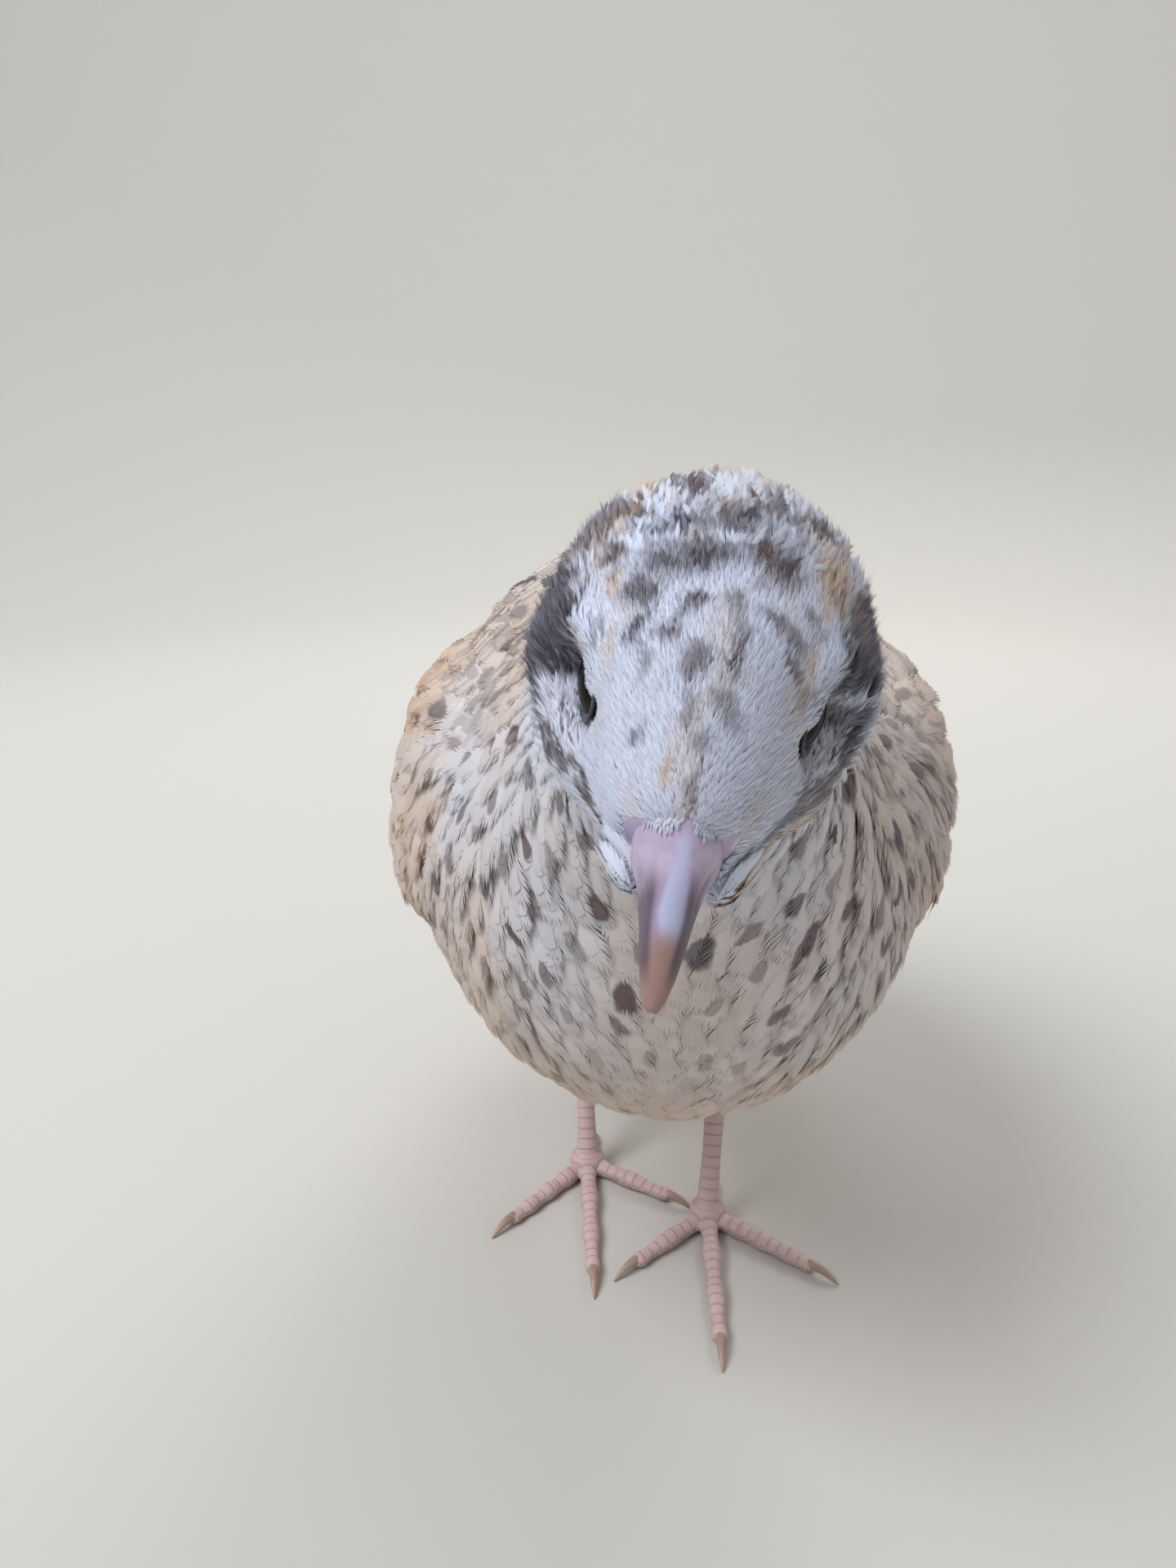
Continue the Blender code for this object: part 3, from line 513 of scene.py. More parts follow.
def line_distance(a, b, line):
    """The distance from points to a broken line, and how thick the line is there."""
    best, thick = np.full(len(a), 1e9), np.zeros(len(a))
    for start, end in zip(line, line[1:]):
        da, db = end[0] - start[0], end[1] - start[1]
        t = np.clip(((a - start[0]) * da + (b - start[1]) * db) / (da * da + db * db), 0, 1)
        gap = np.hypot(a - start[0] - t * da, b - start[1] - t * db)
        wide = start[2] + (end[2] - start[2]) * t if len(start) > 2 else 0 * t
        thick = np.where(gap < best, wide, thick)
        best = np.minimum(best, gap)
    return best, thick


def inside(a, b, outline):
    """The distance inside an outline, negative outside it."""
    gap, _ = line_distance(a, b, outline + outline[:1])
    odd = np.zeros(len(a), bool)
    for (a0, b0), (a1, b1) in zip(outline, outline[1:] + outline[:1]):
        crosses = (b0 > b) != (b1 > b)
        odd ^= crosses & (a < (a1 - a0) * (b - b0) / (b1 - b0 + 1e-9) + a0)
    return np.where(odd, gap, -gap)


def hindcrown(y, z):
    return ease(8.5, 11.0, y) * ease(-8.0, -1.0, z)


def side_marks(local, which):
    """(darkness, warmth) of the ear patch, the line to the gape and the cheek's edge on one side."""
    x, y, z = local.T
    side, here = np.abs(x), x * which > 0
    patch = inside(y, z, EAR_PATCHES[which]) + ripple(local, 5, 0.45) * 0.3
    gap, thick = line_distance(y, z, GAPE_LINES[which])
    broken = ease(-0.75, -0.1, ripple(local, 12, 0.35)) * ease(0.3, 0.6, thick)
    line = ease(1.25, 0.7, gap / np.maximum(thick, 0.1)) * (broken + ease(0.6, 0.3, thick))
    line = line * np.where(x > 0, 0.75, 1.0)
    edge, _ = line_distance(y, z, CHEEK_EDGES[which])
    return (
        (ease(-0.35, 0.25, patch) * here * (side > 5), 0.04),
        (line * here * (side > 2.4) * 0.92, np.where(y < -6.0, 0.5, 0.3)),
        (ease(0.75, 0.35, edge) * here * (side > 6) * 0.85, 0.15),
    )


def dark_marks(local):
    """Darkness and its warmth at points."""
    x, y, z = local.T
    side = np.abs(x)
    wx, wy = x + ripple(local, 3, 0.7) * 0.45, y + ripple(local, 4, 0.7) * 0.6
    top = ease(-1.5, 1.5, z - 0.1 * side)
    streaky = 0.80 + 0.34 * ease(-0.5, 0.3, ripple(local * [1.0, 0.3, 1.0], 21, 0.45))
    marks = [(blob(wx, wy, *shape) * share * streaky * top, heat) for *shape, share, heat in CROWN_BLOTCHES]
    small = ease(0.45, 0.85, ripple(local * [1.0, 0.6, 1.0], 22, 0.55)) * ease(-6, 0, y) * (side < 7.5)
    marks.append((small * 0.5 * top, 0.25))
    streaks = ease(-0.05, 0.4, ripple(local * [1.0, 0.5, 0.8], 8, 0.55))
    marks.append((hindcrown(y, z) * streaks * 0.85, 0.30))
    dark, warm = np.zeros(len(x)), np.zeros(len(x))
    for amount, heat in (*marks, *side_marks(local, 1), *side_marks(local, -1)):
        warm = np.where(amount > dark, heat, warm)
        dark = np.maximum(dark, amount)
    rusty = blob(y, z, 7.6, 1.9, 1.6, 1.1) * (x > 6)
    return dark, np.maximum(warm, rusty * 0.9)


def tan_marks(local):
    """Tan on the brows, forehead, jowls, cheeks and hindcrown, stronger on the bird's left cheek and jowl."""
    x, y, z = local.T
    side = np.abs(x)
    brow = np.exp(-(((side - 6.3 - 0.10 * y) / 0.55) ** 2)) * ease(3.0, 4.0, z) * ease(9, 5, np.abs(y))
    jowl = ease(-4.8, -6.2, z) * ease(3, 5, side) * ease(2, -2, y)
    cheek = ease(6.5, 8.0, side) * ease(4, 1, y) * ease(2.5, 0, z)
    return np.max([
        blob(x, y, *LEFT_BROW_BUFF) * ease(2, 4, z) * (x > 0) * 0.8,
        blob(x, y, *RIGHT_BROW_BUFF) * ease(2, 3.5, z) * 0.55,
        brow * 0.6 * ease(-0.1, 0.5, ripple(local * [1, 0.5, 1], 14, 0.6)),
        blob(x, y, *GOLD_STAIN) * ease(0, 1, z) * 0.62,
        ease(-3, 0.0, z) * 0.25 * ease(0.0, 0.8, ripple(local * [1, 0.4, 1], 15, 0.8)),
        jowl * np.where(x > 0, 0.8, 0.12),
        cheek * np.where(x > 0, 0.25, 0.1),
        hindcrown(y, z) * ease(-0.1, 0.5, ripple(local, 18, 0.7)) * np.where(x < 1, 0.75, 0.45),
    ], axis=0)


def beyond_edge(local):
    """How far in front of the feathers' edge points are, in mm: above 0 on the bare base of the bill."""
    x, y, z = local.T
    edge = np.interp(x, *zip(*FEATHER_EDGE))
    return np.where((np.abs(x) < 3.6) & (z > -3.5), edge - y, -1.0)


def cheek_flecks(local):
    """How likely a dark fleck is on the pale cheeks and on the lobes beside the bill."""
    x, y, z = local.T
    side = np.abs(x)
    left, right = (
        ease(*out, side) * ease(*ahead, y) * ease(*behind, y) * ease(*above, z) * ease(*below, z)
        for out, ahead, behind, above, below in CHEEK_FLECKS
    )
    left = left * ease(3.2, 4.2, eye_place(local)[0])
    lobe = ease(2.4, 3.2, side) * ease(-4.5, -6.5, y) * ease(-2.8, -3.8, z)
    return np.where(x > 0, np.maximum(left * 0.24, lobe * 0.30), np.maximum(right * 0.42, lobe * 0.06))


# Feathers. A template holds across, along and height factors of a feather's points, and its triangles.
def vane_template(rows, fray):
    """A long vane. Its edge is cut into barb tips."""
    across, along, lift, triangles = [], [], [], []
    columns = (-1.0, -0.62, -0.05, 0.05, 0.62, 1.0)
    n = len(columns)
    for i in range(rows + 1):
        t = i / rows
        wide = (1 - ((t - 0.5) / 0.5) ** 2.6) ** 0.7 if t > 0.5 else 0.25 + 0.75 * (t / 0.5) ** 0.7
        for a in columns:
            edge = abs(a) == 1.0
            across.append(a * wide * (1 - (fray if edge and i % 2 else 0.0)))
            along.append(t + (0.05 if edge else 0.025 if abs(a) > 0.5 else 0.0) * (0.3 if i % 2 else 1))
            lift.append(1 - a * a)
    for i in range(rows):
        for a in range(i * n, i * n + n - 1):
            triangles += [(a, a + n + 1, a + 1), (a, a + n, a + n + 1)]
    return np.array(across), np.array(along), np.array(lift), np.array(triangles)


def soft_template(rows, barbs, seed, web=0.30):
    """A loose body feather: a narrow web round the shaft, and barbs that end free along its edge and tip."""
    draw = random.Random(seed)
    points, triangles = [], []
    lean, half = 0.33, 0.046  # how slanted a barb is, and half its width at the root
    for i in range(rows + 1):
        t = 0.80 * i / rows
        w = (1 - ((t - 0.5) / 0.52) ** 2.2) ** 0.55 if t > 0.5 else 0.25 + 0.75 * (t / 0.5) ** 0.8
        w *= web
        points += [(-w, t, 0.6), (0, t + 0.01, 1.0), (w, t, 0.6)]
    for a in range(3 * rows):
        if a % 3 < 2:
            triangles += [(a, a + 4, a + 1), (a, a + 3, a + 4)]
    for side in (-1, 1):
        for i in range(barbs):
            u = (i + 0.5) / barbs * math.pi / 2
            end_t = 0.22 + 0.80 * math.sin(u) + draw.uniform(-0.03, 0.03)
            reach = math.cos(u) ** 0.75 if u < 1.5 else 0.05
            end_a = reach * (0.35 + 0.65 * min(1, end_t / 0.5)) * draw.uniform(0.9, 1.08)
            start_t, start_a = end_t - 0.30, end_a * 0.35
            way_a, way_t = (end_a - start_a) * lean, end_t - start_t
            size = math.hypot(way_a, way_t)
            off_a, off_t = half * way_t / size / lean, -half * way_a / size
            a = len(points)
            points.append((side * (start_a + off_a), start_t + off_t, 0.7))
            points.append((side * (start_a - off_a), start_t - off_t, 0.7))
            points.append((side * end_a, end_t, 0.0))
            triangles.append((a, a + 1, a + 2) if side > 0 else (a, a + 2, a + 1))
    return *np.array(points).T, np.array(triangles)


def tuft_template(blades, seed, slim=1.0):
    """A small spray of narrow pointed blades from one root."""
    draw = random.Random(seed)
    points, triangles = [], []
    for b in range(blades):
        centre = (b + 0.5) / blades * 2 - 1
        lean = centre * 0.75 + draw.uniform(-0.2, 0.2)
        reach = 1 - 0.22 * abs(centre) + draw.uniform(-0.12, 0.08)
        half = 1.1 / blades * slim
        base = len(points)
        for t, w in ((0.0, 0.8), (0.58, 0.9), (1.0, 0.0)):
            middle = centre * 0.35 + lean * 0.6 * t
            for s in (-1, 1) if w else (0,):
                points.append((middle + s * half * w, t * reach, 0.5 * (1 - abs(centre))))
        triangles += [(base, base + 3, base + 1), (base, base + 2, base + 3), (base + 2, base + 4, base + 3)]
    return *np.array(points).T, np.array(triangles)


class Surface:
    """A mesh to lay feathers on."""

    def __init__(self, mesh):
        bm = bmesh.new()
        bm.from_mesh(mesh)
        bmesh.ops.triangulate(bm, faces=bm.faces[:])
        self.tree = BVHTree.FromBMesh(bm)
        self.points = np.array([v.co[:] for v in bm.verts])
        self.triangles = np.array([[v.index for v in f.verts] for f in bm.faces])
        self.normals = np.array([v.normal[:] for v in bm.verts])
        bm.free()

    def nearest(self, points):
        """The nearest points on the surface and their smooth normals."""
        found = [self.tree.find_nearest(p) for p in points]
        at = np.array([f[0][:] for f in found])
        corners = self.triangles[[f[2] for f in found]]
        weight = 1.0 / (np.linalg.norm(self.points[corners] - at[:, None], axis=2) + 1e-5)
        return at, unit((self.normals[corners] * weight[..., None]).sum(1))

    def tips(self, roots, length):
        """Where feathers of these lengths, in mm, end."""
        return roots + flow(roots, self.nearest(roots)[1]) * (length * MM)[:, None]

    def scatter(self, keep, spacing, seed, tries=9):
        """Points at least spacing(points) mm apart on the part of the surface where keep(points) is true."""
        draw = np.random.default_rng(seed)
        corners = self.points[self.triangles]
        a, b, c = corners.transpose(1, 0, 2)
        area = np.linalg.norm(np.cross(b - a, c - a), axis=1) / 2
        middle = corners.mean(1)
        wanted = keep(middle)
        gaps = np.full(len(middle), 1e9)
        gaps[wanted] = spacing(middle[wanted])
        chance = np.where(wanted, area / (gaps * MM) ** 2, 0)
        count = int(chance.sum() * tries)
        pick = draw.choice(len(area), count, p=chance / chance.sum())
        r1, r2 = np.sqrt(draw.random(count)), draw.random(count)
        shares = (1 - r1)[:, None], (r1 * (1 - r2))[:, None], (r1 * r2)[:, None]
        points = shares[0] * a[pick] + shares[1] * b[pick] + shares[2] * c[pick]
        return points[spaced(points, spacing(points) * MM)]


def spaced(points, gap):
    """Indices of the points that keep their gap from those kept before them."""
    keys = np.floor(points / gap.max()).astype(int).tolist()
    steps = [(a, b, c) for a in (-1, 0, 1) for b in (-1, 0, 1) for c in (-1, 0, 1)]
    grid, kept = {}, []
    for i, ((kx, ky, kz), (x, y, z), g) in enumerate(zip(keys, points.tolist(), (gap * gap).tolist())):
        near = (q for dx, dy, dz in steps for q in grid.get((kx + dx, ky + dy, kz + dz), ()))
        if all((qx - x) ** 2 + (qy - y) ** 2 + (qz - z) ** 2 >= g for qx, qy, qz in near):
            grid.setdefault((kx, ky, kz), []).append((x, y, z))
            kept.append(i)
    return np.array(kept)


def stations(along, steps):
    """For each point of a feather: the path step it lies on, and the share of that step."""
    i = np.clip(along * steps, 0, steps - 1e-6).astype(int)
    return i, (along * steps - i)[:, None]


def between(rows, i, f):
    return rows[..., i, :] * (1 - f) + rows[..., i + 1, :] * f


def lay(surface, roots, shape, template, steps=4, puff=0.45):
    """Points of feathers laid over a surface from their roots, and soft normals for them.

    shape holds, per feather, its length, half width and the heights of root and tip, all in mm, the turn of
    its lie in radians, and its curl. puff is how far the normals lean out to the feather's sides.
    """
    length, half_width, low, high, turn, curl = shape
    across, along, lift, _ = template
    at, normal = surface.nearest(roots)
    path, normals, sides, ways = [at], [normal], [], []
    for _ in range(steps):
        way = flow(at, normal)
        way = way * np.cos(turn)[:, None] + np.cross(normal, way) * np.sin(turn)[:, None]
        ways.append(way)
        sides.append(unit(np.cross(normal, way)))
        at, normal = surface.nearest(at + way * (length * MM / steps)[:, None])
        path.append(at)
        normals.append(normal)
    tracks = (path, normals, sides + sides[-1:], ways + ways[-1:])
    i, f = stations(along, steps)
    on, up, side, way = (between(np.stack(track, 1), i, f) for track in tracks)
    up = unit(up)
    height = low[:, None] + (high - low)[:, None] * np.clip(along, 0, 1.1)[None] ** 0.8
    height = height + np.minimum(half_width, 2.0)[:, None] * 0.16 * lift[None]
    height = height + curl[:, None] * np.maximum(along[None] - 0.6, 0) ** 2
    points = on + side * (half_width[:, None] * across[None] * MM)[..., None] + up * (height * MM)[..., None]
    bent = (np.clip(along - 0.6, 0, 1) * 0.5)[None, :, None]
    return points, unit(up + side * (across * puff)[None, :, None] + way * bent)


def bake_place(roots, low, high):
    """Where each root lies on an unwrap of the skin: round the spine, and along it."""
    place = spine_place(roots)
    s = SPINE_LENGTH[place] + ((roots - SPINE[place]) * SPINE_WAY[place]).sum(1)
    round_spine = (around_spine(roots, place) + 1) / 2
    return 0.03 + 0.94 * np.stack([round_spine, np.clip((s - low) / (high - low), 0, 1)], 1)


MOST_TRIANGLES = 190000
PATCH = 0.003  # the side of a feather's patch on the unwrap


def feather_piece(name, points, soft, template, roots, marks, slot, material, replaces=()):
    """Joined meshes of all these feathers with their UV maps, colour attributes and normals."""
    across, along, _, triangles = template
    size = points.shape[1]
    parts = math.ceil(len(roots) * len(triangles) / MOST_TRIANGLES)
    order = np.argsort(spine_place(roots), kind="stable")
    patch = np.stack([across * PATCH / 2, (along - 0.5) * PATCH], 1)[None]
    for number, take in enumerate(np.array_split(order, parts), 1):
        count = len(take)
        faces = (triangles[None] + np.arange(count)[:, None, None] * size).reshape(-1, 3)
        place = SPINE_LENGTH[spine_place(roots[take])]
        bake = bake_place(roots[take], place.min() - 0.002, place.max() + 0.002)[:, None] + patch
        vane = np.broadcast_to(np.stack([0.5 + 0.5 * across, along], 1)[None], bake.shape)
        colours = {}
        for key, value in marks.items():
            value = value[take] if value.ndim == 3 else value[take][:, None]
            colours[key] = np.broadcast_to(value, (count, size, 4)).reshape(-1, 4)
        uvs = {"OFBake": bake.reshape(-1, 2), "vane": vane.reshape(-1, 2)}
        title = name if parts == 1 else f"{name}_{number}"
        mesh = mesh_from_arrays(title, points[take].reshape(-1, 3), faces, uvs, colours)
        if soft is not None:
            mesh.normals_split_custom_set_from_vertices(soft[take].reshape(-1, 3).astype(np.float32))
        new_object(title, mesh, material, slot, replaces if number == 1 else ())


# Materials
def srgb(r, g, b):
    """Linear colour from 0-255 values."""
    shares = (r / 255, g / 255, b / 255)
    return (*(v / 12.92 if v <= 0.04045 else ((v + 0.055) / 1.055) ** 2.4 for v in shares), 1)


class Nodes:
    """Short names for building a material's nodes."""

    def __init__(self, name, roughness, specular, *more):
        self.material = bpy.data.materials.new(name)
        self.material.use_nodes = True
        self.tree = self.material.node_tree
        self.shader = self.tree.nodes["Principled BSDF"]
        for key, value in (("Roughness", roughness), ("Specular IOR Level", specular), *more):
            self.shader.inputs[key].default_value = value

    def node(self, kind, inputs=(), **settings):
        """A new node. inputs are (socket, value or output) pairs."""
        node = self.tree.nodes.new(kind)
        for key, value in settings.items():
            setattr(node, key, value)
        for socket, value in inputs:
            self.put(node.inputs[socket], value)
        return node

    def put(self, socket, value):
        if isinstance(value, bpy.types.NodeSocket):
            self.tree.links.new(value, socket)
        else:
            socket.default_value = value

    def maths(self, operation, *values, clamp=False):
        return self.node("ShaderNodeMath", enumerate(values), operation=operation, use_clamp=clamp).outputs[0]

    times = partialmethod(maths, "MULTIPLY")
    plus = partialmethod(maths, "ADD")
    minus = partialmethod(maths, "SUBTRACT")
    scaled = partialmethod(maths, "MULTIPLY_ADD")
    most = partialmethod(maths, "MAXIMUM")

    def step(self, value, low, high, to_low=0.0, to_high=1.0):
        values = enumerate((value, low, high, to_low, to_high))
        return self.node("ShaderNodeMapRange", values, interpolation_type="SMOOTHSTEP").outputs[0]

    def mix(self, share, a, b):
        return self.node("ShaderNodeMix", ((0, share), (6, a), (7, b)), data_type="RGBA").outputs[2]

    def attribute(self, name):
        """The four values of a colour attribute."""
        node = self.node("ShaderNodeAttribute", attribute_name=name, attribute_type="GEOMETRY")
        split = self.node("ShaderNodeSeparateColor", ((0, node.outputs["Color"]),))
        return (*split.outputs[:3], node.outputs["Alpha"])

    def noise(self, scale, detail=2.0):
        place = self.node("ShaderNodeTexCoord").outputs["Object"]
        inputs = (("Scale", scale), ("Detail", detail), ("Vector", place))
        return self.node("ShaderNodeTexNoise", inputs).outputs[0]

    def bump(self, height, distance, strength=1.0):
        inputs = (("Strength", strength), ("Distance", distance), ("Height", height))
        self.put(self.shader.inputs["Normal"], self.node("ShaderNodeBump", inputs).outputs[0])

    def colour(self, value):
        self.put(self.shader.inputs["Base Color"], value)
        return self.material


def subsurface(weight, radius):
    """Shader settings for light that spreads under the surface."""
    return ("Subsurface Weight", weight), ("Subsurface Radius", radius), ("Subsurface Scale", 1.0)


WHITE = srgb(214, 219, 236)
CREAM = srgb(210, 194, 180)
BUFF = srgb(194, 160, 134)
DARK = srgb(66, 62, 74)
RUST = srgb(112, 78, 66)
FLESH = srgb(184, 172, 200)
OVAL_RANGE = 24.0  # how many oval lengths the oval attribute spans from 0 to 1


def drops_and_bars(n, across, along, ragged):
    """Darkness of a feather's own drop, wide at the tip and pointed towards the root, and of its bars."""
    strength, size, bars, chance = n.attribute("spot")
    off = n.maths("ABSOLUTE", n.minus(across, 0.5))
    place = n.minus(along, n.scaled(chance, 0.06, 0.80))
    tail = n.maths("DIVIDE", place, n.scaled(size, 0.16, 0.10))
    wide = n.maths("DIVIDE", off, n.scaled(size, 0.16, 0.09))
    wide = n.maths("DIVIDE", wide, n.most(n.scaled(tail, 0.35, 0.9), 0.25))
    reach = n.plus(n.times(tail, tail), n.times(wide, wide))
    drop = n.times(n.step(n.plus(reach, ragged), 1.5, 0.55), strength)
    wave = n.maths("SINE", n.scaled(n.scaled(off, -0.25, along), 34.0, n.times(chance, 6.0)))
    return n.most(drop, n.times(n.step(n.plus(wave, ragged), -0.1, 0.7), bars))


def oval_mark(n):
    """Darkness and rust of the oval under this feather, a little narrower ahead."""
    ahead, beside, there, rust = n.attribute("oval")
    ahead = n.scaled(ahead, OVAL_RANGE, -OVAL_RANGE / 2)
    beside = n.scaled(beside, OVAL_RANGE, -OVAL_RANGE / 2)
    beside = n.times(beside, n.step(ahead, -1.0, 1.0, 1.22, 0.78))
    reach = n.maths("SQRT", n.plus(n.times(ahead, ahead), n.times(beside, beside)))
    reach = n.plus(reach, n.scaled(n.noise(700.0), 0.7, -0.35))
    return n.times(n.step(reach, 1.25, 0.80), there), rust


def plumage_material(name, barbs):
    """Feather colour from its attributes, with barbs as fine relief where there are any.

    tone: r is warmth from white to cream, g from cream to buff, b is its darkness all over, a its rust.
    spot: r is the strength of a drop on the shaft, g its size, b bars, a a random number.
    oval: r and g are the place on the nearest oval, b is its strength, a is rust in it.
    """
    n = Nodes(name, 0.78, 0.2, ("Sheen Weight", 0.08), ("Sheen Roughness", 0.5))
    warmth, buff, dark, rust = n.attribute("tone")
    chance = n.attribute("spot")[3]
    vane = n.node("ShaderNodeSeparateXYZ", ((0, n.node("ShaderNodeUVMap", uv_map="vane").outputs[0]),))
    across, along, _ = vane.outputs
    base = n.mix(buff, n.mix(warmth, WHITE, CREAM), BUFF)
    # each feather is a little lighter or darker than the next
    shade = n.node("ShaderNodeHueSaturation", (("Value", n.scaled(chance, 0.16, 0.90)), ("Color", base)))
    ragged = n.scaled(n.noise(900.0), 0.9, -0.45)
    amount = n.most(drops_and_bars(n, across, along, ragged), dark, clamp=True)
    colour = n.mix(amount, shade.outputs[0], n.mix(rust, DARK, RUST))
    oval, brown = oval_mark(n)
    colour = n.mix(oval, colour, n.mix(brown, DARK, RUST))
    if barbs:
        off = n.maths("ABSOLUTE", n.minus(across, 0.5))
        n.bump(n.maths("SINE", n.times(n.minus(along, n.times(off, 0.7)), barbs)), 0.00012, 0.5)
    return n.colour(colour)


def skin_material():
    n = Nodes("skin_look", 0.85, 0.2)
    warmth, buff, dark, rust = n.attribute("tone")
    base = n.mix(buff, n.mix(warmth, WHITE, CREAM), BUFF)
    base = n.mix(n.times(dark, 0.85), base, n.mix(rust, DARK, RUST))
    return n.colour(n.mix(n.attribute("bare")[0], base, FLESH))


def tone_at(points, seed):
    """The tone attribute at world points: warmth, buff, dark, rust."""
    local = to_head(points)
    distance = head_distance(points)
    on_head = ease(1.4, 1.2, distance)
    dark, rust = dark_marks(local)
    tan = tan_marks(local)
    x, y, z = (points / MM).T
    patchy = ripple(points / MM, seed, 4.5)
    low = ease(60, 40, z)
    flank = ease(19, 29, np.abs(x)) * ease(-42, -26, y)
    back = ease(74, 90, z) * ease(-52, -36, y)
    rear = ease(-5, 25, y)
    right = ease(5, -25, x)
    warm = np.clip(0.5 + 0.5 * low + 0.4 * flank + 0.4 * back + 0.4 * rear + 0.25 * patchy, 0, 1)
    buff = flank * (0.12 + 0.22 * right) * ease(34, 46, z) + 0.18 * back + 0.34 * low + 0.20 * rear
    buff = np.clip(buff + 0.14 * ease(0, 18, x) + 0.20 * patchy * (0.35 + flank * right), 0, 1)
    hood = ease(1.9, 1.15, distance + 0.08 * ripple(points / MM, 25, 1.5))
    hood = hood * (1 - ease(13.5, 19.0, local[:, 1]) * ease(-9, 1, local[:, 2]))
    warm = warm * (1 - hood) + hood * np.clip(tan * 1.3, 0, 1)
    buff = buff * (1 - hood) + hood * np.clip(tan * 0.9 - 0.25, 0, 1)
    return np.stack([warm, buff, dark * on_head, rust * on_head], 1)


# The coat
class Ovals:
    """The dark ovals on the neck, breast and flanks, which the feathers and the skin both read."""

    def __init__(self, skin):
        def keep(points):
            return (head_distance(points) > 1.2) & (points[:, 2] / MM > 38) & (points[:, 1] / MM < 62)

        def spacing(points):
            return 2.7 + 1.15 * ease(1.2, 2.0, head_distance(points))

        draw = np.random.default_rng(24)
        roots = skin.scatter(keep, spacing, 23, 6)
        n = len(roots)
        self.at, normals = skin.nearest(roots)
        way = flow(self.at, normals)
        side = np.cross(normals, way)
        turn = draw.normal(0, 0.22, n)[:, None]
        self.way = way * np.cos(turn) + side * np.sin(turn)
        self.side = side * np.cos(turn) - way * np.sin(turn)
        self.long = draw.uniform(1.0, 1.95, n) * MM
        self.wide = self.long * draw.uniform(0.44, 0.60, n)
        distance = head_distance(roots)
        zone = ease(1.2, 1.32, distance) * ease(46, 62, roots[:, 2] / MM + 6 * ripple(roots / MM, 9, 6.0))
        throat = ease(1.5, 1.25, distance) * ease(-0.2, -0.8, to_head(roots)[:, 2] / 12)
        self.strength = zone * (1 - 0.9 * throat) * draw.uniform(0.2, 1.0, n) ** 0.55
        self.rust = draw.uniform(0.0, 0.55, n)
        self.tree = KDTree(n)
        for index, place in enumerate(self.at):
            self.tree.insert(place, index)
        self.tree.balance()

    def on_oval(self, i, points):
        """Where points (n, m, 3) lie along and across the ovals i, 1 at an oval's end and at its side."""
        offset = points - self.at[i][:, None]
        along = (offset * self.way[i][:, None]).sum(2) / self.long[i][:, None]
        return along, (offset * self.side[i][:, None]).sum(2) / self.wide[i][:, None]

    def attribute(self, centres, points):
        """The oval attribute at points (n, m, 3), from the oval nearest to each of n centres."""
        i = np.array([self.tree.find(c)[1] for c in centres])
        along, across = self.on_oval(i, points)
        same = np.ones_like(along)
        out = [0.5 + along / OVAL_RANGE, 0.5 + across / OVAL_RANGE]
        out += [same * self.strength[i][:, None], same * self.rust[i][:, None]]
        return np.clip(np.stack(out, 2), 0, 1)

    def read(self, centres, points, near):
        """Darkness and a wider halo at points (n, m, 3), from the ovals nearest to each of n centres."""
        nearest = np.array([[found[1] for found in self.tree.find_n(c, near)] for c in centres])
        dark, halo = np.zeros(points.shape[:2]), np.zeros(points.shape[:2])
        for i in nearest.T:
            along, across = self.on_oval(i, points)
            reach = np.sqrt(along * along + (across * (1.0 - 0.22 * np.clip(along, -1, 1))) ** 2)
            dark = np.maximum(dark, ease(1.3, 0.95, reach) * self.strength[i][:, None])
            halo = np.maximum(halo, ease(2.4, 0.9, reach) * self.strength[i][:, None])
        return dark, halo


def grade(points):
    """0 next to the head and on the thighs, 1 on the full-sized feathers."""
    return ease(1.05, 2.2, head_distance(points)) * (1 - 0.85 * ease(34, 26, points[:, 2] / MM))


def feathered(points):
    """Where body feathers grow: not on the face, and not under the long wing feathers."""
    x, y, z = (points / MM).T
    drawn_y = y + MIDDLE_Y
    low = np.interp(drawn_y, (-20, 15, 54), (61, 59, 59))
    high = np.interp(drawn_y, (-20, 32, 50), (82, 79, 62))
    hidden = (drawn_y > 0) & (drawn_y < 44) & (z > low) & (z < high) & (np.abs(x) > 10)
    return (head_distance(points) > 1.1) & ~hidden & (z > 20) & (y < 63)


def body_shapes(roots, draw):
    """Length, half width, heights, turn and curl of each contour feather."""
    n, q = len(roots), grade(roots)
    x, y, z = (roots / MM).T
    belly = ease(46, 34, z)
    length = (3.2 + 4.6 * q + 1.6 * belly * q) * draw.uniform(0.85, 1.15, n)
    half = (0.95 + 1.35 * q + 0.4 * belly * q) * draw.uniform(0.88, 1.12, n)
    high = (0.75 + 0.95 * q + 0.5 * belly * q) + draw.uniform(-0.2, 0.35, n)
    fuller_left_shoulder = ease(10, 22, x) * ease(68, 80, z) * ease(6, -6, y)
    high = high + 1.2 * fuller_left_shoulder
    turn = draw.normal(0, 0.14, n)
    return length, half, np.full(n, 0.1), high, turn, draw.uniform(-0.6, 1.6, n) * (0.3 + 0.7 * q)


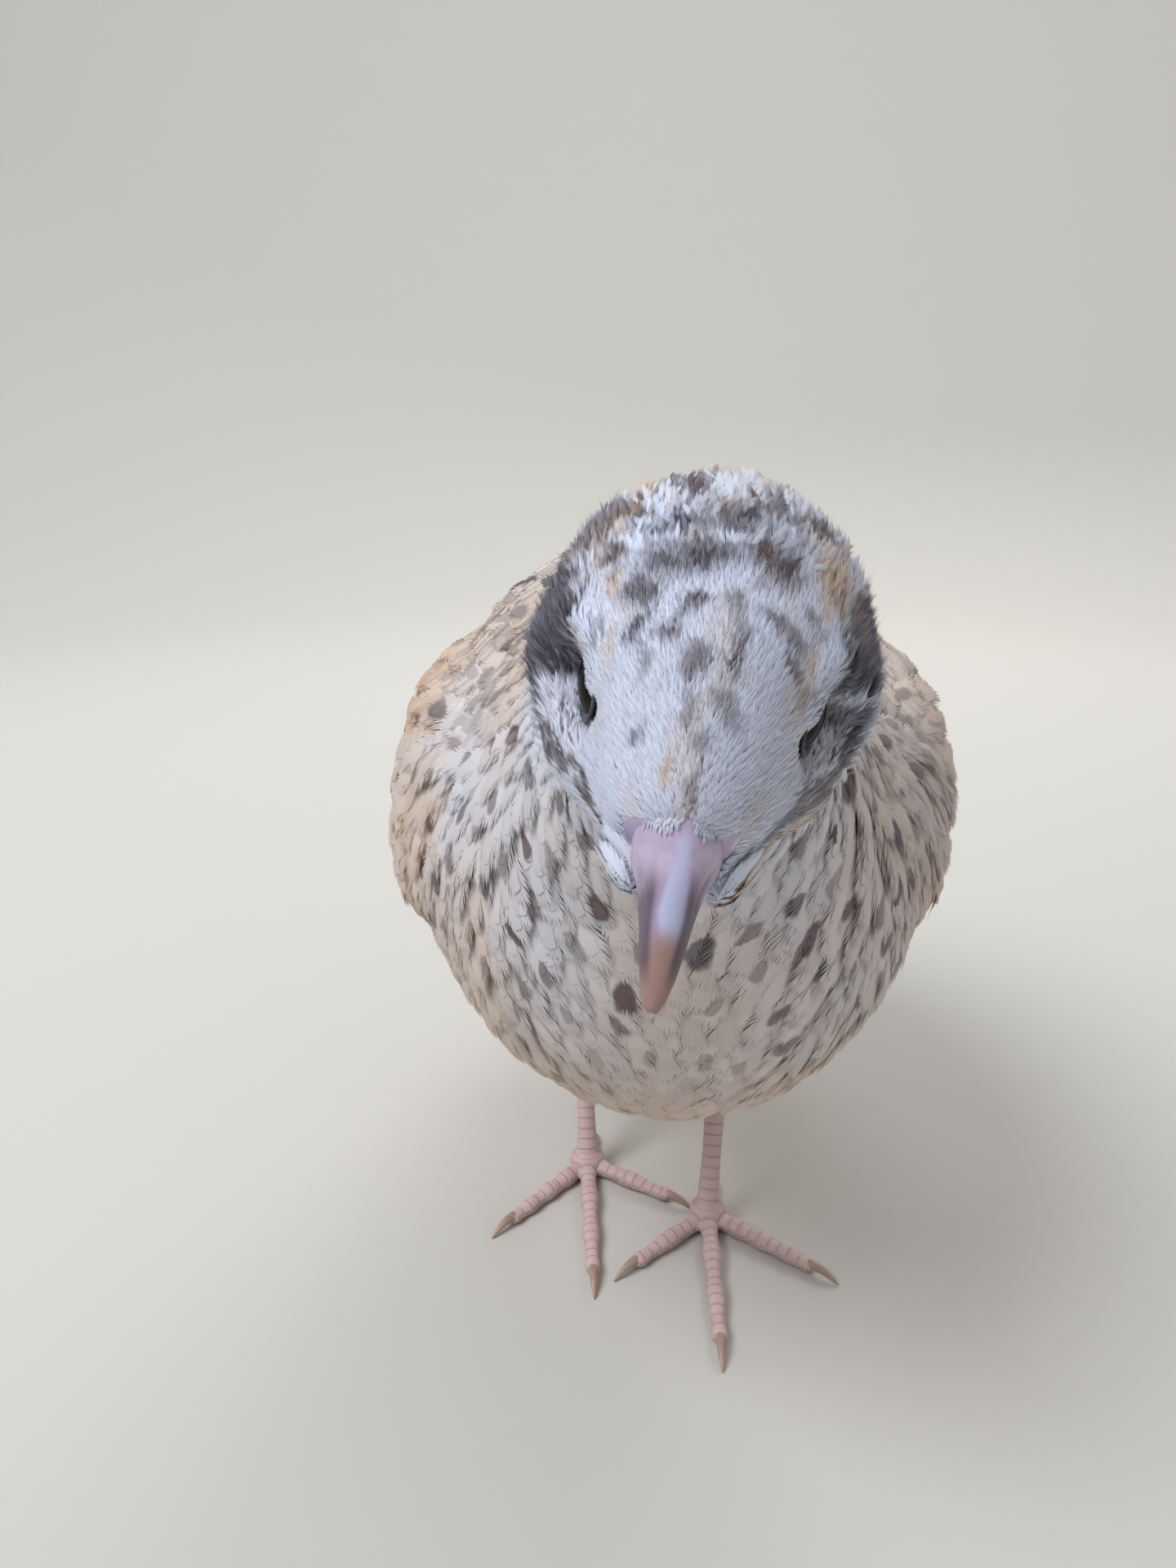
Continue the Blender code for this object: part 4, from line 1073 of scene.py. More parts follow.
def body_coat(skin, ovals, material):
    """Contour feathers of neck, breast, back and belly."""
    roots = skin.scatter(feathered, lambda points: 0.75 + 0.72 * grade(points), 21, 8)
    draw = np.random.default_rng(22)
    n = len(roots)
    shape = body_shapes(roots, draw)
    template = soft_template(8, 17, 7, 0.36)
    points, soft = lay(skin, roots, shape, template)
    tips = skin.tips(roots, shape[0] * 0.84)
    x, y, z = (roots / MM).T
    back = np.clip(ease(76, 92, z) * ease(-50, -30, y) + ease(10, 30, y) * ease(52, 66, z), 0, 1)
    oval = ovals.attribute(tips, points + draw.normal(0, 0.06 * MM, (n, 1, 3)))
    oval[..., 2] *= (1 - back)[:, None] * draw.uniform(0.85, 1.0, n)[:, None]
    flank = ease(14, 26, np.abs(x)) * np.where(x < 0, 1.0, 0.45)
    _, halo = ovals.read(tips, points, 3)
    tone = np.repeat(tone_at(tips, 5)[:, None], points.shape[1], 1)
    tone[..., 1] = np.clip(tone[..., 1] + 0.75 * halo * (flank * (1 - back))[:, None], 0, 1)
    size = draw.uniform(0.1, 0.9, n) + 0.9 * back
    bars = back * draw.uniform(0.2, 0.9, n) * (draw.random(n) < 0.75)
    strength = back * draw.uniform(0.3, 1.0, n) * (draw.random(n) < 0.45)
    marks = {"tone": tone, "spot": np.stack([strength, size, bars, draw.random(n)], 1), "oval": oval}
    feather_piece("coat_body", points, soft, template, roots, marks, "plumage", material)


def tufts(name, surface, roots, shape, template, material, seed, steps=2, grey=0.0):
    """One piece of short tufts, with flecks on the cheeks. grey darkens all of them."""
    draw = np.random.default_rng(seed)
    n = len(roots)
    points, soft = lay(surface, roots, shape, template, steps, 0.3)
    tips = surface.tips(roots, shape[0] * 0.8)
    tone = tone_at(tips, 6)
    fleck = draw.random(n) < cheek_flecks(to_head(tips))
    tone[:, 2] = np.maximum(tone[:, 2], fleck * draw.uniform(0.45, 1.0, n))
    tone[:, 2] = np.clip(grey + tone[:, 2] * draw.uniform(0.72, 1.15, n), 0, 1)
    spot = np.zeros((n, 4))
    spot[:, 3] = draw.random(n)
    feather_piece(name, points, soft, template, roots, {"tone": tone, "spot": spot}, "plumage", material)


def head_shapes(skin, roots, draw):
    """Length, half width, heights, turn and curl of each tuft. None ends on the eye or past the edge."""
    n = len(roots)
    local = to_head(roots)
    x, y, z = local.T
    back = ease(-9, 12, y)
    crown = ease(7, 13, y) * ease(-2, 3, z)
    ear = ease(0.3, 0.8, dark_marks(local)[0]) * ease(6.5, 8.0, np.abs(x)) * ease(-3, 1, y)
    radial, along, brow = eye_place(local)
    over_eye = ease(4.0, 3.2, radial) * ease(0.2, 0.7, brow) * (along > 0)
    length = 1.4 + 1.0 * back + 0.7 * crown - 0.5 * ease(-6.5, -9.0, y) + 0.5 * ear
    length = length * draw.uniform(0.8, 1.2, n)
    half = (0.25 + 0.13 * back + 0.08 * crown) * (1 - 0.3 * ear) * draw.uniform(0.85, 1.2, n)
    way = flow(roots, skin.nearest(roots)[1])
    for _ in range(4):
        ends = to_head(roots + way * (length * MM)[:, None])
        radial, along, _ = eye_place(ends)
        length = np.where(((radial < 2.45) & (along > 0)) | (beyond_edge(ends) > -0.05), length * 0.6, length)
    high = 0.30 + 0.35 * back + 0.50 * ear + crown * draw.uniform(0, 0.5, n) ** 1.5 + 0.35 * over_eye
    turn = draw.normal(0, 0.15, n) + crown * draw.normal(0, 0.25, n) - np.sign(x) * 0.25 * over_eye
    curl = draw.uniform(-0.3, 0.8, n) * (0.2 + 1.6 * crown + 1.5 * ear)
    return length, half, 0.03 + 0.25 * over_eye, high, turn, curl


def loose_shapes(draw, n, length, half, low, high, turn, curl=None):
    """Shapes drawn evenly between pairs of bounds. turn is a spread."""
    spans = [draw.uniform(*length, n), draw.uniform(*half, n), np.full(n, low), draw.uniform(*high, n)]
    return *spans, draw.normal(0, turn, n), draw.uniform(*curl, n) if curl else np.zeros(n)


def head_coat(skin, material):
    """Short tufts over the face, crown and cheeks, and loose feathers on the crown and the ear coverts."""

    def keep(points):
        local = to_head(points)
        x, y, z = local.T
        radial, along, brow = eye_place(local)
        eye = (radial < np.where(brow > 0.4, 2.5, 2.95)) & (along > 0)
        under = (np.abs(x) < 2.4) & (y < -5.5) & (z < -2.5) & (z > -7.4)
        return (head_distance(points) < 1.28) & ~eye & (beyond_edge(local) < 0) & ~under

    def spacing(points):
        return 0.19 + 0.13 * ease(-2, 14, to_head(points)[:, 1])

    roots = skin.scatter(keep, spacing, 31, 6)
    draw = np.random.default_rng(32)
    tufts("coat_head", skin, roots, head_shapes(skin, roots, draw), tuft_template(5, 5, 0.8), material, 34)
    # longer feathers stand loose on the crown, and hair-like ones on the ear coverts
    place = skin.scatter(lambda p: head_distance(p) < 1.3, lambda p: 0 * p[:, 0] + 0.42, 33, 5)
    x, y, z = to_head(place).T
    loose = place[(draw.random(len(place)) < ease(4.0, 10.0, y)) & (z > 0.0)]
    shape = loose_shapes(draw, len(loose), (1.5, 2.5), (0.26, 0.45), 0.1, (0.5, 1.15), 0.35, (0, 1.8))
    tufts("coat_crown", skin, loose, shape, soft_template(4, 9, 11, 0.24), material, 35, 3)
    hairy = place[(dark_marks(to_head(place))[0] > 0.5) & (np.abs(x) > 7.5) & (y > -1) & (z < 5)]
    shape = loose_shapes(draw, len(hairy), (1.4, 2.2), (0.30, 0.50), 0.1, (0.9, 1.5), 0.3, (0.5, 2.5))
    tufts("coat_ears", skin, hairy, shape, tuft_template(7, 12, 0.42), material, 36, 3)


def bill_fringe(bill, material):
    """Small feathers that reach forward over the base of the bill, between its bare corners and its ridge."""

    def keep(points):
        local = to_head(points)
        x, y, z = local.T
        return (beyond_edge(local) < -0.25) & (y < -9.3) & (z > -0.9) & (np.abs(x) < 2.2)

    roots = bill.scatter(keep, lambda p: 0 * p[:, 0] + 0.17, 37, 8)
    draw = np.random.default_rng(38)
    *sizes, turn, curl = loose_shapes(draw, len(roots), (0.6, 0.95), (0.14, 0.22), 0.05, (0.12, 0.25), 0.2)
    shape = (*sizes, math.pi + turn, curl)
    tufts("coat_bill", bill, roots, shape, tuft_template(5, 5, 0.8), material, 39, grey=0.16)


# Each tier: vanes, y and z of root and tip of its lowest and of its highest vane in mm, half width, how far
# root and tip lie off the body, the strength of the bars and the darkness.
WING_TIERS = (
    (7, (8, 59, 55, 57), (6, 66, 50, 65), 3.0, (0.3, 0.7), 0.9, 0.10),
    (9, (0, 61, 47, 62), (-6, 83, 31, 83), 3.9, (0.2, 0.9), 0.8, 0.04),
    (11, (-11, 60, 24, 57), (-10, 81, 17, 84), 3.6, (0.2, 1.2), 0.55, 0.04),
    (12, (-14, 61, 10, 58), (-12, 80, 6, 83), 3.2, (0.0, 1.3), 0.45, 0.04),
)
# Each fan: feathers, root and tip of its middle one, half width of the roots, spread in degrees, droop, half
# width of a feather, rise and the strength of the bars.
TAIL_FANS = (
    (12, (0, 58.0, 50.5), (0, 83.0, 41.0), 5.5, 17, 4.0, 3.3, 1.5, 0.85),
    (11, (0, 55.0, 58.0), (0, 77.5, 47.0), 6.0, 17, 6.0, 3.3, 1.3, 0.6),
    (9, (0, 52.0, 61.0), (0, 71.0, 51.5), 7.0, 15, 6.0, 3.6, 1.0, 0.5),
    (9, (0, 54.0, 46.0), (0, 75.0, 41.0), 6.0, 14, 1.0, 3.3, -1.0, 0.15),
)


def over_side(surface, side, y, z, lift):
    """The point off the body's side at height z, and the surface's normal there. mm in, metres out."""
    start = Vector((side * 90, y - MIDDLE_Y, z)) * MM
    found, normal, index, _ = surface.tree.ray_cast(start, Vector((-side, 0, 0)))
    if found is None:
        found, normal, index, _ = surface.tree.find_nearest(Vector((side * 8, y - MIDDLE_Y, z)) * MM)
    normal = Vector(surface.normals[surface.triangles[index]].mean(0)).normalized()
    return found + normal * lift * MM, normal


class Vanes:
    """Long vanes, gathered for one piece."""

    def __init__(self, rows, fray):
        self.template = vane_template(rows, fray)
        self.points, self.roots, self.tones, self.spots = [], [], [], []

    def add(self, spine, normals, half_width, roll, root, tone, spot):
        """One vane along spine points, rolled round them. root is the spine point taken as its root."""
        across, along, lift, _ = self.template
        spine, normals = np.array(spine), np.array(normals)
        side = unit(np.cross(normals, unit(np.gradient(spine, axis=0))))
        i, f = stations(along, len(spine) - 1)
        tilt = -math.tan(roll) * across * half_width
        out = between(side, i, f) * (across * half_width * MM)[:, None]
        up = unit(between(normals, i, f)) * ((lift * 0.35 + tilt) * MM)[:, None]
        self.points.append(between(spine, i, f) + out + up)
        self.roots.append(spine[root])
        self.tones.append(tone)
        self.spots.append(spot)

    def build(self, name, node, material):
        marks = {"tone": np.array(self.tones), "spot": np.array(self.spots)}
        points, roots = np.array(self.points), np.array(self.roots)
        feather_piece(name, points, None, self.template, roots, marks, "feather", material, (node,))


def wing(side, surface, material):
    """The folded wing in four tiers of vanes."""
    name = "wing_" + ("left" if side > 0 else "right")
    draw = random.Random(41)
    vanes = Vanes(26, 0.10)
    for count, lowest, highest, half_width, lifts, bars, dark in WING_TIERS:
        for i in range(count):
            share = i / (count - 1)
            y0, z0, y1, z1 = (a + (b - a) * share for a, b in zip(lowest, highest))
            y1 += draw.uniform(-1.2, 1.2)
            z1 += draw.uniform(-0.5, 0.5)
            spine = []
            for k in range(7):
                t = k / 6
                lift = lifts[0] + (lifts[1] - lifts[0]) * t + 0.15 * share + draw.uniform(0, 0.08)
                z = z0 + (z1 - z0) * t - 2.6 * math.sin(math.pi * t)
                spine.append(over_side(surface, side, y0 + (y1 - y0) * t, z, lift))
            warm, buff = 0.55 + draw.uniform(-0.1, 0.25), 0.30 + draw.uniform(-0.12, 0.2)
            tone = (warm, buff, dark, 0.25 + 0.3 * draw.random())
            spot = (0.0, 0.5, bars * draw.uniform(0.75, 1.0), draw.random())
            vanes.add(*zip(*spine), half_width, -side * math.radians(8), 3, tone, spot)
    vanes.build(name + "_vanes", name, material)


def tail(material):
    """The fan of tail feathers with the coverts above and below them."""
    draw = random.Random(51)
    vanes = Vanes(22, 0.12)
    for count, root, tip, root_half, spread, droop, half_width, rise, bars in TAIL_FANS:
        root, tip = Vector(root), Vector(tip)
        for i in range(count):
            share = i / (count - 1) * 2 - 1
            angle = -share * math.radians(spread)
            turned = Matrix.Rotation(angle, 3, "Z") @ (tip - root) * (1 - 0.1 * abs(share))
            turned = turned * draw.uniform(0.96, 1.03)
            start = root + Vector((share * root_half, 0, -(share**2) * droop * 0.6))
            up = Vector((math.sin(-angle) * 1.5, 0.35, 0.93)).normalized()
            lift = (1 - abs(share)) * rise
            spine = []
            for k in range(6):
                t = k / 5
                sag = -1.8 * t * t - share**2 * droop * 0.4 * t
                spine.append((start + turned * t + Vector((0, -MIDDLE_Y, sag)) + up * lift) * MM)
            warm, buff = 0.6 + draw.uniform(-0.1, 0.2), 0.32 + draw.uniform(-0.1, 0.15)
            tone = (warm, buff, 0.05, 0.3 + 0.2 * draw.random())
            spot = (0.0, 0.5, bars * draw.uniform(0.8, 1.0), draw.random())
            vanes.add(spine, [up] * 6, half_width, math.copysign(math.radians(7), -share), 2, tone, spot)
    vanes.build("tail_vanes", "tail", material)


# Eyes
def eye_material():
    n = Nodes("eye_look", 0.12, 0.02, ("Coat Weight", 0.05), ("Coat Roughness", 0.02))
    polar = n.attribute("polar")[0]
    iris = n.mix(n.noise(1500.0, 3.0), srgb(24, 17, 15), srgb(38, 26, 21))
    colour = n.mix(n.step(polar, 0.30, 0.36), srgb(8, 7, 8), iris)
    return n.colour(n.mix(n.step(polar, 0.70, 0.82), colour, srgb(14, 12, 13)))


def lid_material():
    n = Nodes("lid_look", 0.6, 0.35)
    n.bump(n.noise(2600.0), 0.0001, 0.4)
    return n.colour(n.mix(n.step(n.noise(900.0), 0.35, 0.7), srgb(56, 58, 68), srgb(84, 90, 106)))


def eyeball(turn, centre):
    """The ball, with its angle from the eye's axis painted on it: 0 ahead, 1 at a right angle."""
    bm = ball(Matrix.Identity(4), 48, 32, EYE_RADIUS)
    polar = [math.acos(max(-1, min(1, v.co.z / EYE_RADIUS))) / (math.pi / 2) for v in bm.verts]
    for v in bm.verts:
        v.co = in_head(*(turn @ v.co + centre))
    mesh = mesh_of(bm, "eyeball")
    paint(mesh, "polar", np.stack([polar, *np.zeros((2, len(polar))), np.ones(len(polar))], 1))
    return mesh


def lid(turn, centre, rings=72, sides=12):
    """An almond ring over the eyeball."""
    points, faces = [], []
    drop = Vector((*(turn.to_3x3().inverted() @ Vector((0, LID_BACK, 0))).xy, 0))
    for i in range(rings):
        a = math.tau * i / rings
        radial = Vector((math.cos(a) * LID_RADIUS * 1.04, math.sin(a) * LID_RADIUS * 0.90, 0)) + drop
        height = math.sqrt(EYE_RADIUS**2 - radial.length_squared)
        normal = Vector((radial.x, radial.y, height)).normalized()
        out = Vector((math.cos(a), math.sin(a), 0))
        swell = 0.24 * (1 + 0.12 * math.sin(9 * a))
        for k in range(sides):
            b = math.tau * k / sides
            at = radial + Vector((0, 0, height)) + out * (0.25 + swell * 1.3 * math.cos(b))
            points.append(in_head(*(turn @ (at + normal * swell * 0.8 * math.sin(b)) + centre)))
            a0, a1 = i * sides + k, i * sides + (k + 1) % sides
            b0, b1 = ((i + 1) % rings) * sides + k, ((i + 1) % rings) * sides + (k + 1) % sides
            faces += [(a0, a1, b1), (a0, b1, b0)]
    return mesh_from_arrays("lid", np.array(points), np.array(faces))


def build_eyes():
    glass, skin = eye_material(), lid_material()
    for side, word in ((1, "left"), (-1, "right")):
        axis = Vector((side * EYE_AXIS.x, EYE_AXIS.y, EYE_AXIS.z))
        turn = axis.to_track_quat("Z", "Y").to_matrix().to_4x4()
        centre = Vector((side * EYE_OUT, EYE_BACK, 0))
        new_object("eyeball_" + word, eyeball(turn, centre), glass, "eye", ("eye_" + word,))
        new_object("lid_" + word, lid(turn, centre), skin, "plumage")


# Bill
UPPER_BILL_ROWS = (  # y, culmen, cutting edge, half width, in mm, in the head's frame
    (-5.6, 0.0, -3.5, 2.3),
    (-8.0, 0.4, -3.7, 2.7),
    (-9.6, 0.75, -3.8, 3.05),
    (-10.9, 0.65, -3.95, 2.9),
    (-12.4, 0.0, -4.1, 2.3),
    (-14.4, -1.1, -4.4, 1.80),
    (-16.4, -2.6, -4.9, 1.50),
    (-18.2, -4.2, -5.6, 1.15),
    (-19.3, -5.3, -6.2, 0.82),
    (-19.9, -6.0, -6.6, 0.45),
)
LOWER_BILL_ROWS = (  # y, cutting edge, underside, half width
    (-5.0, -4.0, -5.9, 2.5),
    (-8.6, -4.05, -6.6, 2.6),
    (-11.4, -4.3, -6.7, 2.2),
    (-14.2, -4.7, -6.7, 1.65),
    (-16.6, -5.3, -6.75, 1.15),
    (-18.3, -6.0, -6.7, 0.6),
)
RIDGE_HIGHLIGHT_X = 0.3  # the painted highlight along the ridge runs a little to the bird's left
# Hollows (above 0) and swellings of the upper bill on each side: place, reach in x, y and z, depth and slant.
NOSTRIL_SLIT = ((2.5, -13.0, -2.5), (1.0, 1.2, 0.22), 0.34, 0.25)
NOSTRIL_FLAP = ((2.0, -11.0, -1.3), (1.0, 1.9, 1.1), -0.30, 0.0)


def bill_half(rows, upper, rings=40, sides=36):
    """One half of the bill, rounded away from its cutting edge."""
    out = []
    for i in range(rings):
        y, top, bottom, wide = spline(rows, i / (rings - 1))
        edge, far = (bottom, top) if upper else (top, bottom)
        ring = []
        for k in range(sides):
            s, c = math.sin(math.tau * k / sides), math.cos(math.tau * k / sides)
            reach = (far - edge) * (s**0.9 if s > 0 else 0.06 * s)
            narrow = 1 - 0.10 * s if upper and s > 0 else 1
            ring.append(in_head(wide * math.copysign(abs(c) ** 0.9, c) * narrow, y, edge + reach))
        out.append(ring)
    return loft(out)


def bill_material():
    n = Nodes("bill_look", 0.45, 0.35, *subsurface(0.05, (0.0012, 0.0006, 0.0005)))
    flesh, ridge, dark, tip = n.attribute("zones")
    grain = n.noise(600.0, 3.0)
    base = n.mix(grain, srgb(154, 136, 158), srgb(172, 154, 178))
    base = n.mix(flesh, base, n.mix(n.step(grain, 0.4, 0.65), srgb(190, 176, 200), srgb(176, 158, 182)))
    # a painted highlight along the top of the ridge
    base = n.mix(n.times(ridge, 0.85), base, srgb(188, 192, 224))
    base = n.mix(n.times(tip, 0.9), base, srgb(158, 124, 114))
    # the dark sides of the bill, with painted shade in the nostril slits
    base = n.mix(n.times(dark, 0.85), base, srgb(84, 70, 86))
    n.bump(n.noise(1400.0), 0.00008, 0.35)
    return n.colour(base)


def bill_zones(mesh):
    """Amounts of the flesh-coloured base, the painted highlight along the ridge, the dark sides with painted
    shade in the nostril slits, and the horn tip.
    """
    local = to_head(points_of(mesh))
    x, y, z = local.T
    side, out = np.abs(x), -y
    rows = np.array(UPPER_BILL_ROWS)
    culmen, wide = np.interp(out, -rows[:, 0], rows[:, 1]), np.interp(out, -rows[:, 0], rows[:, 3])
    drift = ripple(local, 61, 1.6)
    # the painted highlight: a pale band along the top of the ridge, widening towards the tip
    width = np.interp(out, (10.5, 12.5, 15.2, 16.8), (0.08, 0.16, 0.48, 0.36))
    ridge = ease(width + 0.16, width - 0.10, np.abs(x - RIDGE_HIGHLIGHT_X) / wide + 0.10 * drift)
    ridge = ridge * ease(10.2, 12.2, out) * ease(17.2, 15.8, out) * ease(1.5, 0.5, culmen - z)
    share = side / wide + 0.10 * drift + 0.18 * (culmen - z)
    dark = ease(12.4, 14.4, out) * ease(19.3, 17.2, out) * ease(0.42, 0.80, share)
    # painted shade in each nostril slit, added to the dark sides
    slot = np.exp(-(((side - 2.45) / 0.55) ** 2) - ((out - 13.3) / 1.1) ** 2 - ((z + 2.5) / 0.7) ** 2)
    flesh = ease(14.2, 12.2, out + 0.6 * drift)
    return np.stack([flesh, ridge, np.maximum(dark, slot), ease(15.6, 17.4, out)], 1)


def nostril_depth(points, side):
    """How deep the slit and the swollen flap of one nostril press into the upper bill, in mm."""
    depth = np.zeros(len(points))
    for (ax, ay, az), (rx, ry, rz), amount, slant in (NOSTRIL_SLIT, NOSTRIL_FLAP):
        x, y, z = (points - np.array([side * ax, ay, az])).T
        depth += amount * np.exp(-(((z - slant * y) / rz) ** 2) - (y / ry) ** 2 - (x / rx) ** 2)
    return depth


def build_bill():
    """Both halves of the bill. Returns the upper one as a surface."""
    material = bill_material()
    upper = remeshed([bill_half(UPPER_BILL_ROWS, True)], 0.16 * MM, 9)
    local = to_head(points_of(upper))
    depth = nostril_depth(local, 1) + nostril_depth(local, -1)
    move_points(upper, points_of(upper) - normals_of(upper) * (depth * MM)[:, None])
    lower = remeshed([bill_half(LOWER_BILL_ROWS, False)], 0.16 * MM, 3)
    for mesh, word in ((upper, "upper"), (lower, "lower")):
        paint(mesh, "zones", bill_zones(mesh))
        new_object("bill_" + word + "_look", mesh, material, "bill", ("bill_" + word,))
    return Surface(upper)


# Feet
FEET = {  # joint of the toes and ankle, in mm, and where each toe points, in degrees from straight ahead
    "left": ((8.1, -1.0, 4.0), (10.8, 11.0, 30.0), {"inner": -49, "middle": -2, "outer": 52, "hind": 168}),
    "right": ((-9.5, 11.0, 4.0), (-10.6, 22.5, 30.0), {"inner": 58, "middle": 2, "outer": -41, "hind": 172}),
}
TOES = {"inner": (14.6, 2), "middle": (23.5, 3), "outer": (17.0, 4), "hind": (6.5, 1)}  # length, joints
CLAW_LENGTH = 3.6
SCUTE_LENGTH = 1.55
MOST_SCUTES = 40.0  # how many scutes the band value spans from 0 to 1


def tube(centres, radii, sides, floor=-math.inf):
    rings = []
    last = len(centres) - 1
    for i, (at, radius) in enumerate(zip(centres, radii)):
        along = (centres[min(i + 1, last)] - centres[max(i - 1, 0)]).normalized()
        side = along.cross(Vector((0, 0, 1)))
        side = side.normalized() if side.length > 0.1 else Vector((1, 0, 0))
        above = side.cross(along).normalized()
        ring = []
        for k in range(sides):
            a = math.tau * (k + 0.5) / sides
            point = at + side * radius * math.cos(a) + above * radius * math.sin(a)
            point.z = max(point.z, floor)
            ring.append(point * MM)
        rings.append(ring)
    return loft(rings)


def leg_material():
    n = Nodes("leg_look", 0.5, 0.35, *subsurface(0.1, (0.0014, 0.0006, 0.0004)))
    band, front, floor_brown, _ = n.attribute("scute")
    wave = n.maths("FRACT", n.times(band, MOST_SCUTES))
    groove = n.times(n.step(n.maths("ABSOLUTE", n.minus(wave, 0.5)), 0.36, 0.49), front)
    inputs = (("Scale", 1500.0), ("Vector", n.node("ShaderNodeTexCoord").outputs["Object"]))
    pebbles = n.node("ShaderNodeTexVoronoi", inputs, feature="DISTANCE_TO_EDGE").outputs[0]
    small = n.times(n.step(pebbles, 0.0, 0.12, 1.0, 0.0), n.minus(1.0, front))
    lines = n.most(groove, small, clamp=True)
    base = n.mix(n.noise(320.0, 3.0), srgb(214, 188, 184), srgb(200, 172, 174))
    base = n.mix(n.times(lines, 0.26), base, srgb(172, 140, 140))
    # browner and darker in blotches within 2 mm of the floor
    base = n.mix(n.times(floor_brown, n.step(n.noise(500.0, 3.0), 0.45, 0.7)), base, srgb(150, 128, 110))
    n.bump(n.minus(1.0, lines), 0.00016, 0.8)
    return n.colour(base)


def claw_material():
    n = Nodes("claw_look", 0.35, 0.45)
    return n.colour(n.mix(n.noise(500.0, 3.0), srgb(186, 160, 146), srgb(150, 122, 108)))


def foot_pad(ground):
    place = TO_METRES @ Matrix.Translation(ground + Vector((0, 0, 2.0)))
    bm = ball(place @ Matrix.Diagonal((2.7, 2.7, 2.2, 1)))
    for v in bm.verts:
        v.co.z = max(v.co.z, 0)
    return mesh_of(bm, "pad")


def toe_line(ground, way, length, joints, thick, count=34):
    """Middle points and radii along a toe, which swells at its joints and lifts between them."""
    centres, radii = [], []
    for i in range(count + 1):
        t = i / count
        radius = (1.38 - 0.42 * t + 0.13 * math.cos(math.tau * t * joints)) * thick
        if t > 0.96:
            radius *= math.sqrt(max(0.05, 1 - ((t - 0.96) / 0.045) ** 2))
        z = radius * 0.92 + 0.35 * math.sin(math.pi * t * joints) ** 2 * 0.4
        centres.append(ground + way * (1.0 + (length - 1.0) * t) + Vector((0, 0, z)))
        radii.append(radius)
    return centres, radii


def claw_mesh(end, way, reach, thick, count=14):
    """A claw that arches up from the toe's end and down to the floor."""
    centres, radii = [], []
    for i in range(count + 1):
        t = i / count
        z = 0.95 * thick + 0.75 * math.sin(math.pi * (0.12 + 0.88 * t)) * (1 - 0.3 * t) - 0.78 * t
        centres.append(end + way * reach * t + Vector((0, 0, z)))
        radii.append(0.68 * thick * (1 - t) ** 0.65 + 0.05)
    return tube(centres, radii, 14, floor=0.02)


def scute_marks(mesh, lines):
    """Place along the nearest middle line, how far a point faces front or up, and how close it lies to the
    floor, where it turns browner.
    """
    points, normals = points_of(mesh) / MM, normals_of(mesh)
    band, front = np.zeros(len(points)), np.zeros(len(points))
    best = np.full(len(points), 1e9)
    for number, line in enumerate(lines):
        line = np.array(line)
        run = np.concatenate([[0], np.cumsum(np.linalg.norm(np.diff(line, axis=0), axis=1))])
        gap = ((points[:, None] - line[None]) ** 2).sum(2)
        near = gap.argmin(1)
        closer = gap.min(1) < best
        best = np.where(closer, gap.min(1), best)
        s = run[near] + ((points - line[near]) * unit(np.gradient(line, axis=0))[near]).sum(1)
        top = normals[:, 2] if number else -normals[:, 1]
        band = np.where(closer, s / SCUTE_LENGTH / MOST_SCUTES, band)
        front = np.where(closer, ease(0.1, 0.5, top), front)
    return np.stack([band, front, ease(2.0, 0.2, points[:, 2]) * 0.7, np.ones(len(band))], 1)


def build_legs():
    """Each leg as one scaled piece with its toes, and the claws."""
    scales, horn = leg_material(), claw_material()
    for which, (joint, ankle, bearings) in FEET.items():
        joint, ankle = Vector(joint) - Vector((0, MIDDLE_Y, 0)), Vector(ankle) - Vector((0, MIDDLE_Y, 0))
        ground = Vector((joint.x, joint.y, 0))
        shank = [joint.lerp(ankle, i / 20 * 0.72) for i in range(21)]
        radii = [1.62 - 0.25 * math.sin(math.pi * min(1, i / 14)) + 0.08 * (i / 20) for i in range(21)]
        parts = [tube([ground + Vector((0, 0, 2.4)), *shank], [1.5, *radii], 20), foot_pad(ground)]
        lines = [shank]
        for toe, bearing in bearings.items():
            way = Vector((math.sin(math.radians(bearing)), -math.cos(math.radians(bearing)), 0))
            length, joints = TOES[toe]
            thick, shorter = (0.8, 0.75) if toe == "hind" else (1.0, 1.0)
            centres, radii = toe_line(ground, way, length, joints, thick)
            parts.append(tube(centres, radii, 18, floor=0.0))
            lines.append(centres)
            claw = claw_mesh(ground + way * (length - 0.6), way, CLAW_LENGTH * shorter + 0.9, thick)
            new_object(f"claw_{which}_{toe}_look", claw, horn, "claw", (f"claw_{which}_{toe}",))
        mesh = remeshed(parts, 0.22 * MM, 3)
        paint(mesh, "scute", scute_marks(mesh, lines))
        solids = ["shank_" + which] + [f"toe_{which}_{toe}" for toe in TOES]
        new_object("leg_" + which, mesh, scales, "leg", solids)


# Stage
FLOOR_RADIUS, COVE_RADIUS, WALL_HEIGHT = 0.6, 0.7, 1.2
SKY = (0.80, 0.87, 1.0, 1)
SKY_STRENGTH = 0.50
BIRD = (0, -0.03, 0.07)
LIGHTS = {  # place, target, size, power and colour
    "key": ((-0.46, -0.32, 0.76), BIRD, 0.5, 6.2, (0.94, 0.97, 1.0)),
    "fill": ((0.55, -0.60, 0.30), BIRD, 0.6, 0.35, (1.0, 0.93, 0.86)),
    "wall": ((0, 0.25, 0.9), (0, 1.25, 0.45), 0.5, 5.0, (1.0, 0.99, 0.96)),
    "rim": ((0.25, 0.55, 0.6), BIRD, 0.4, 1.8, (1.0, 0.97, 0.93)),
}
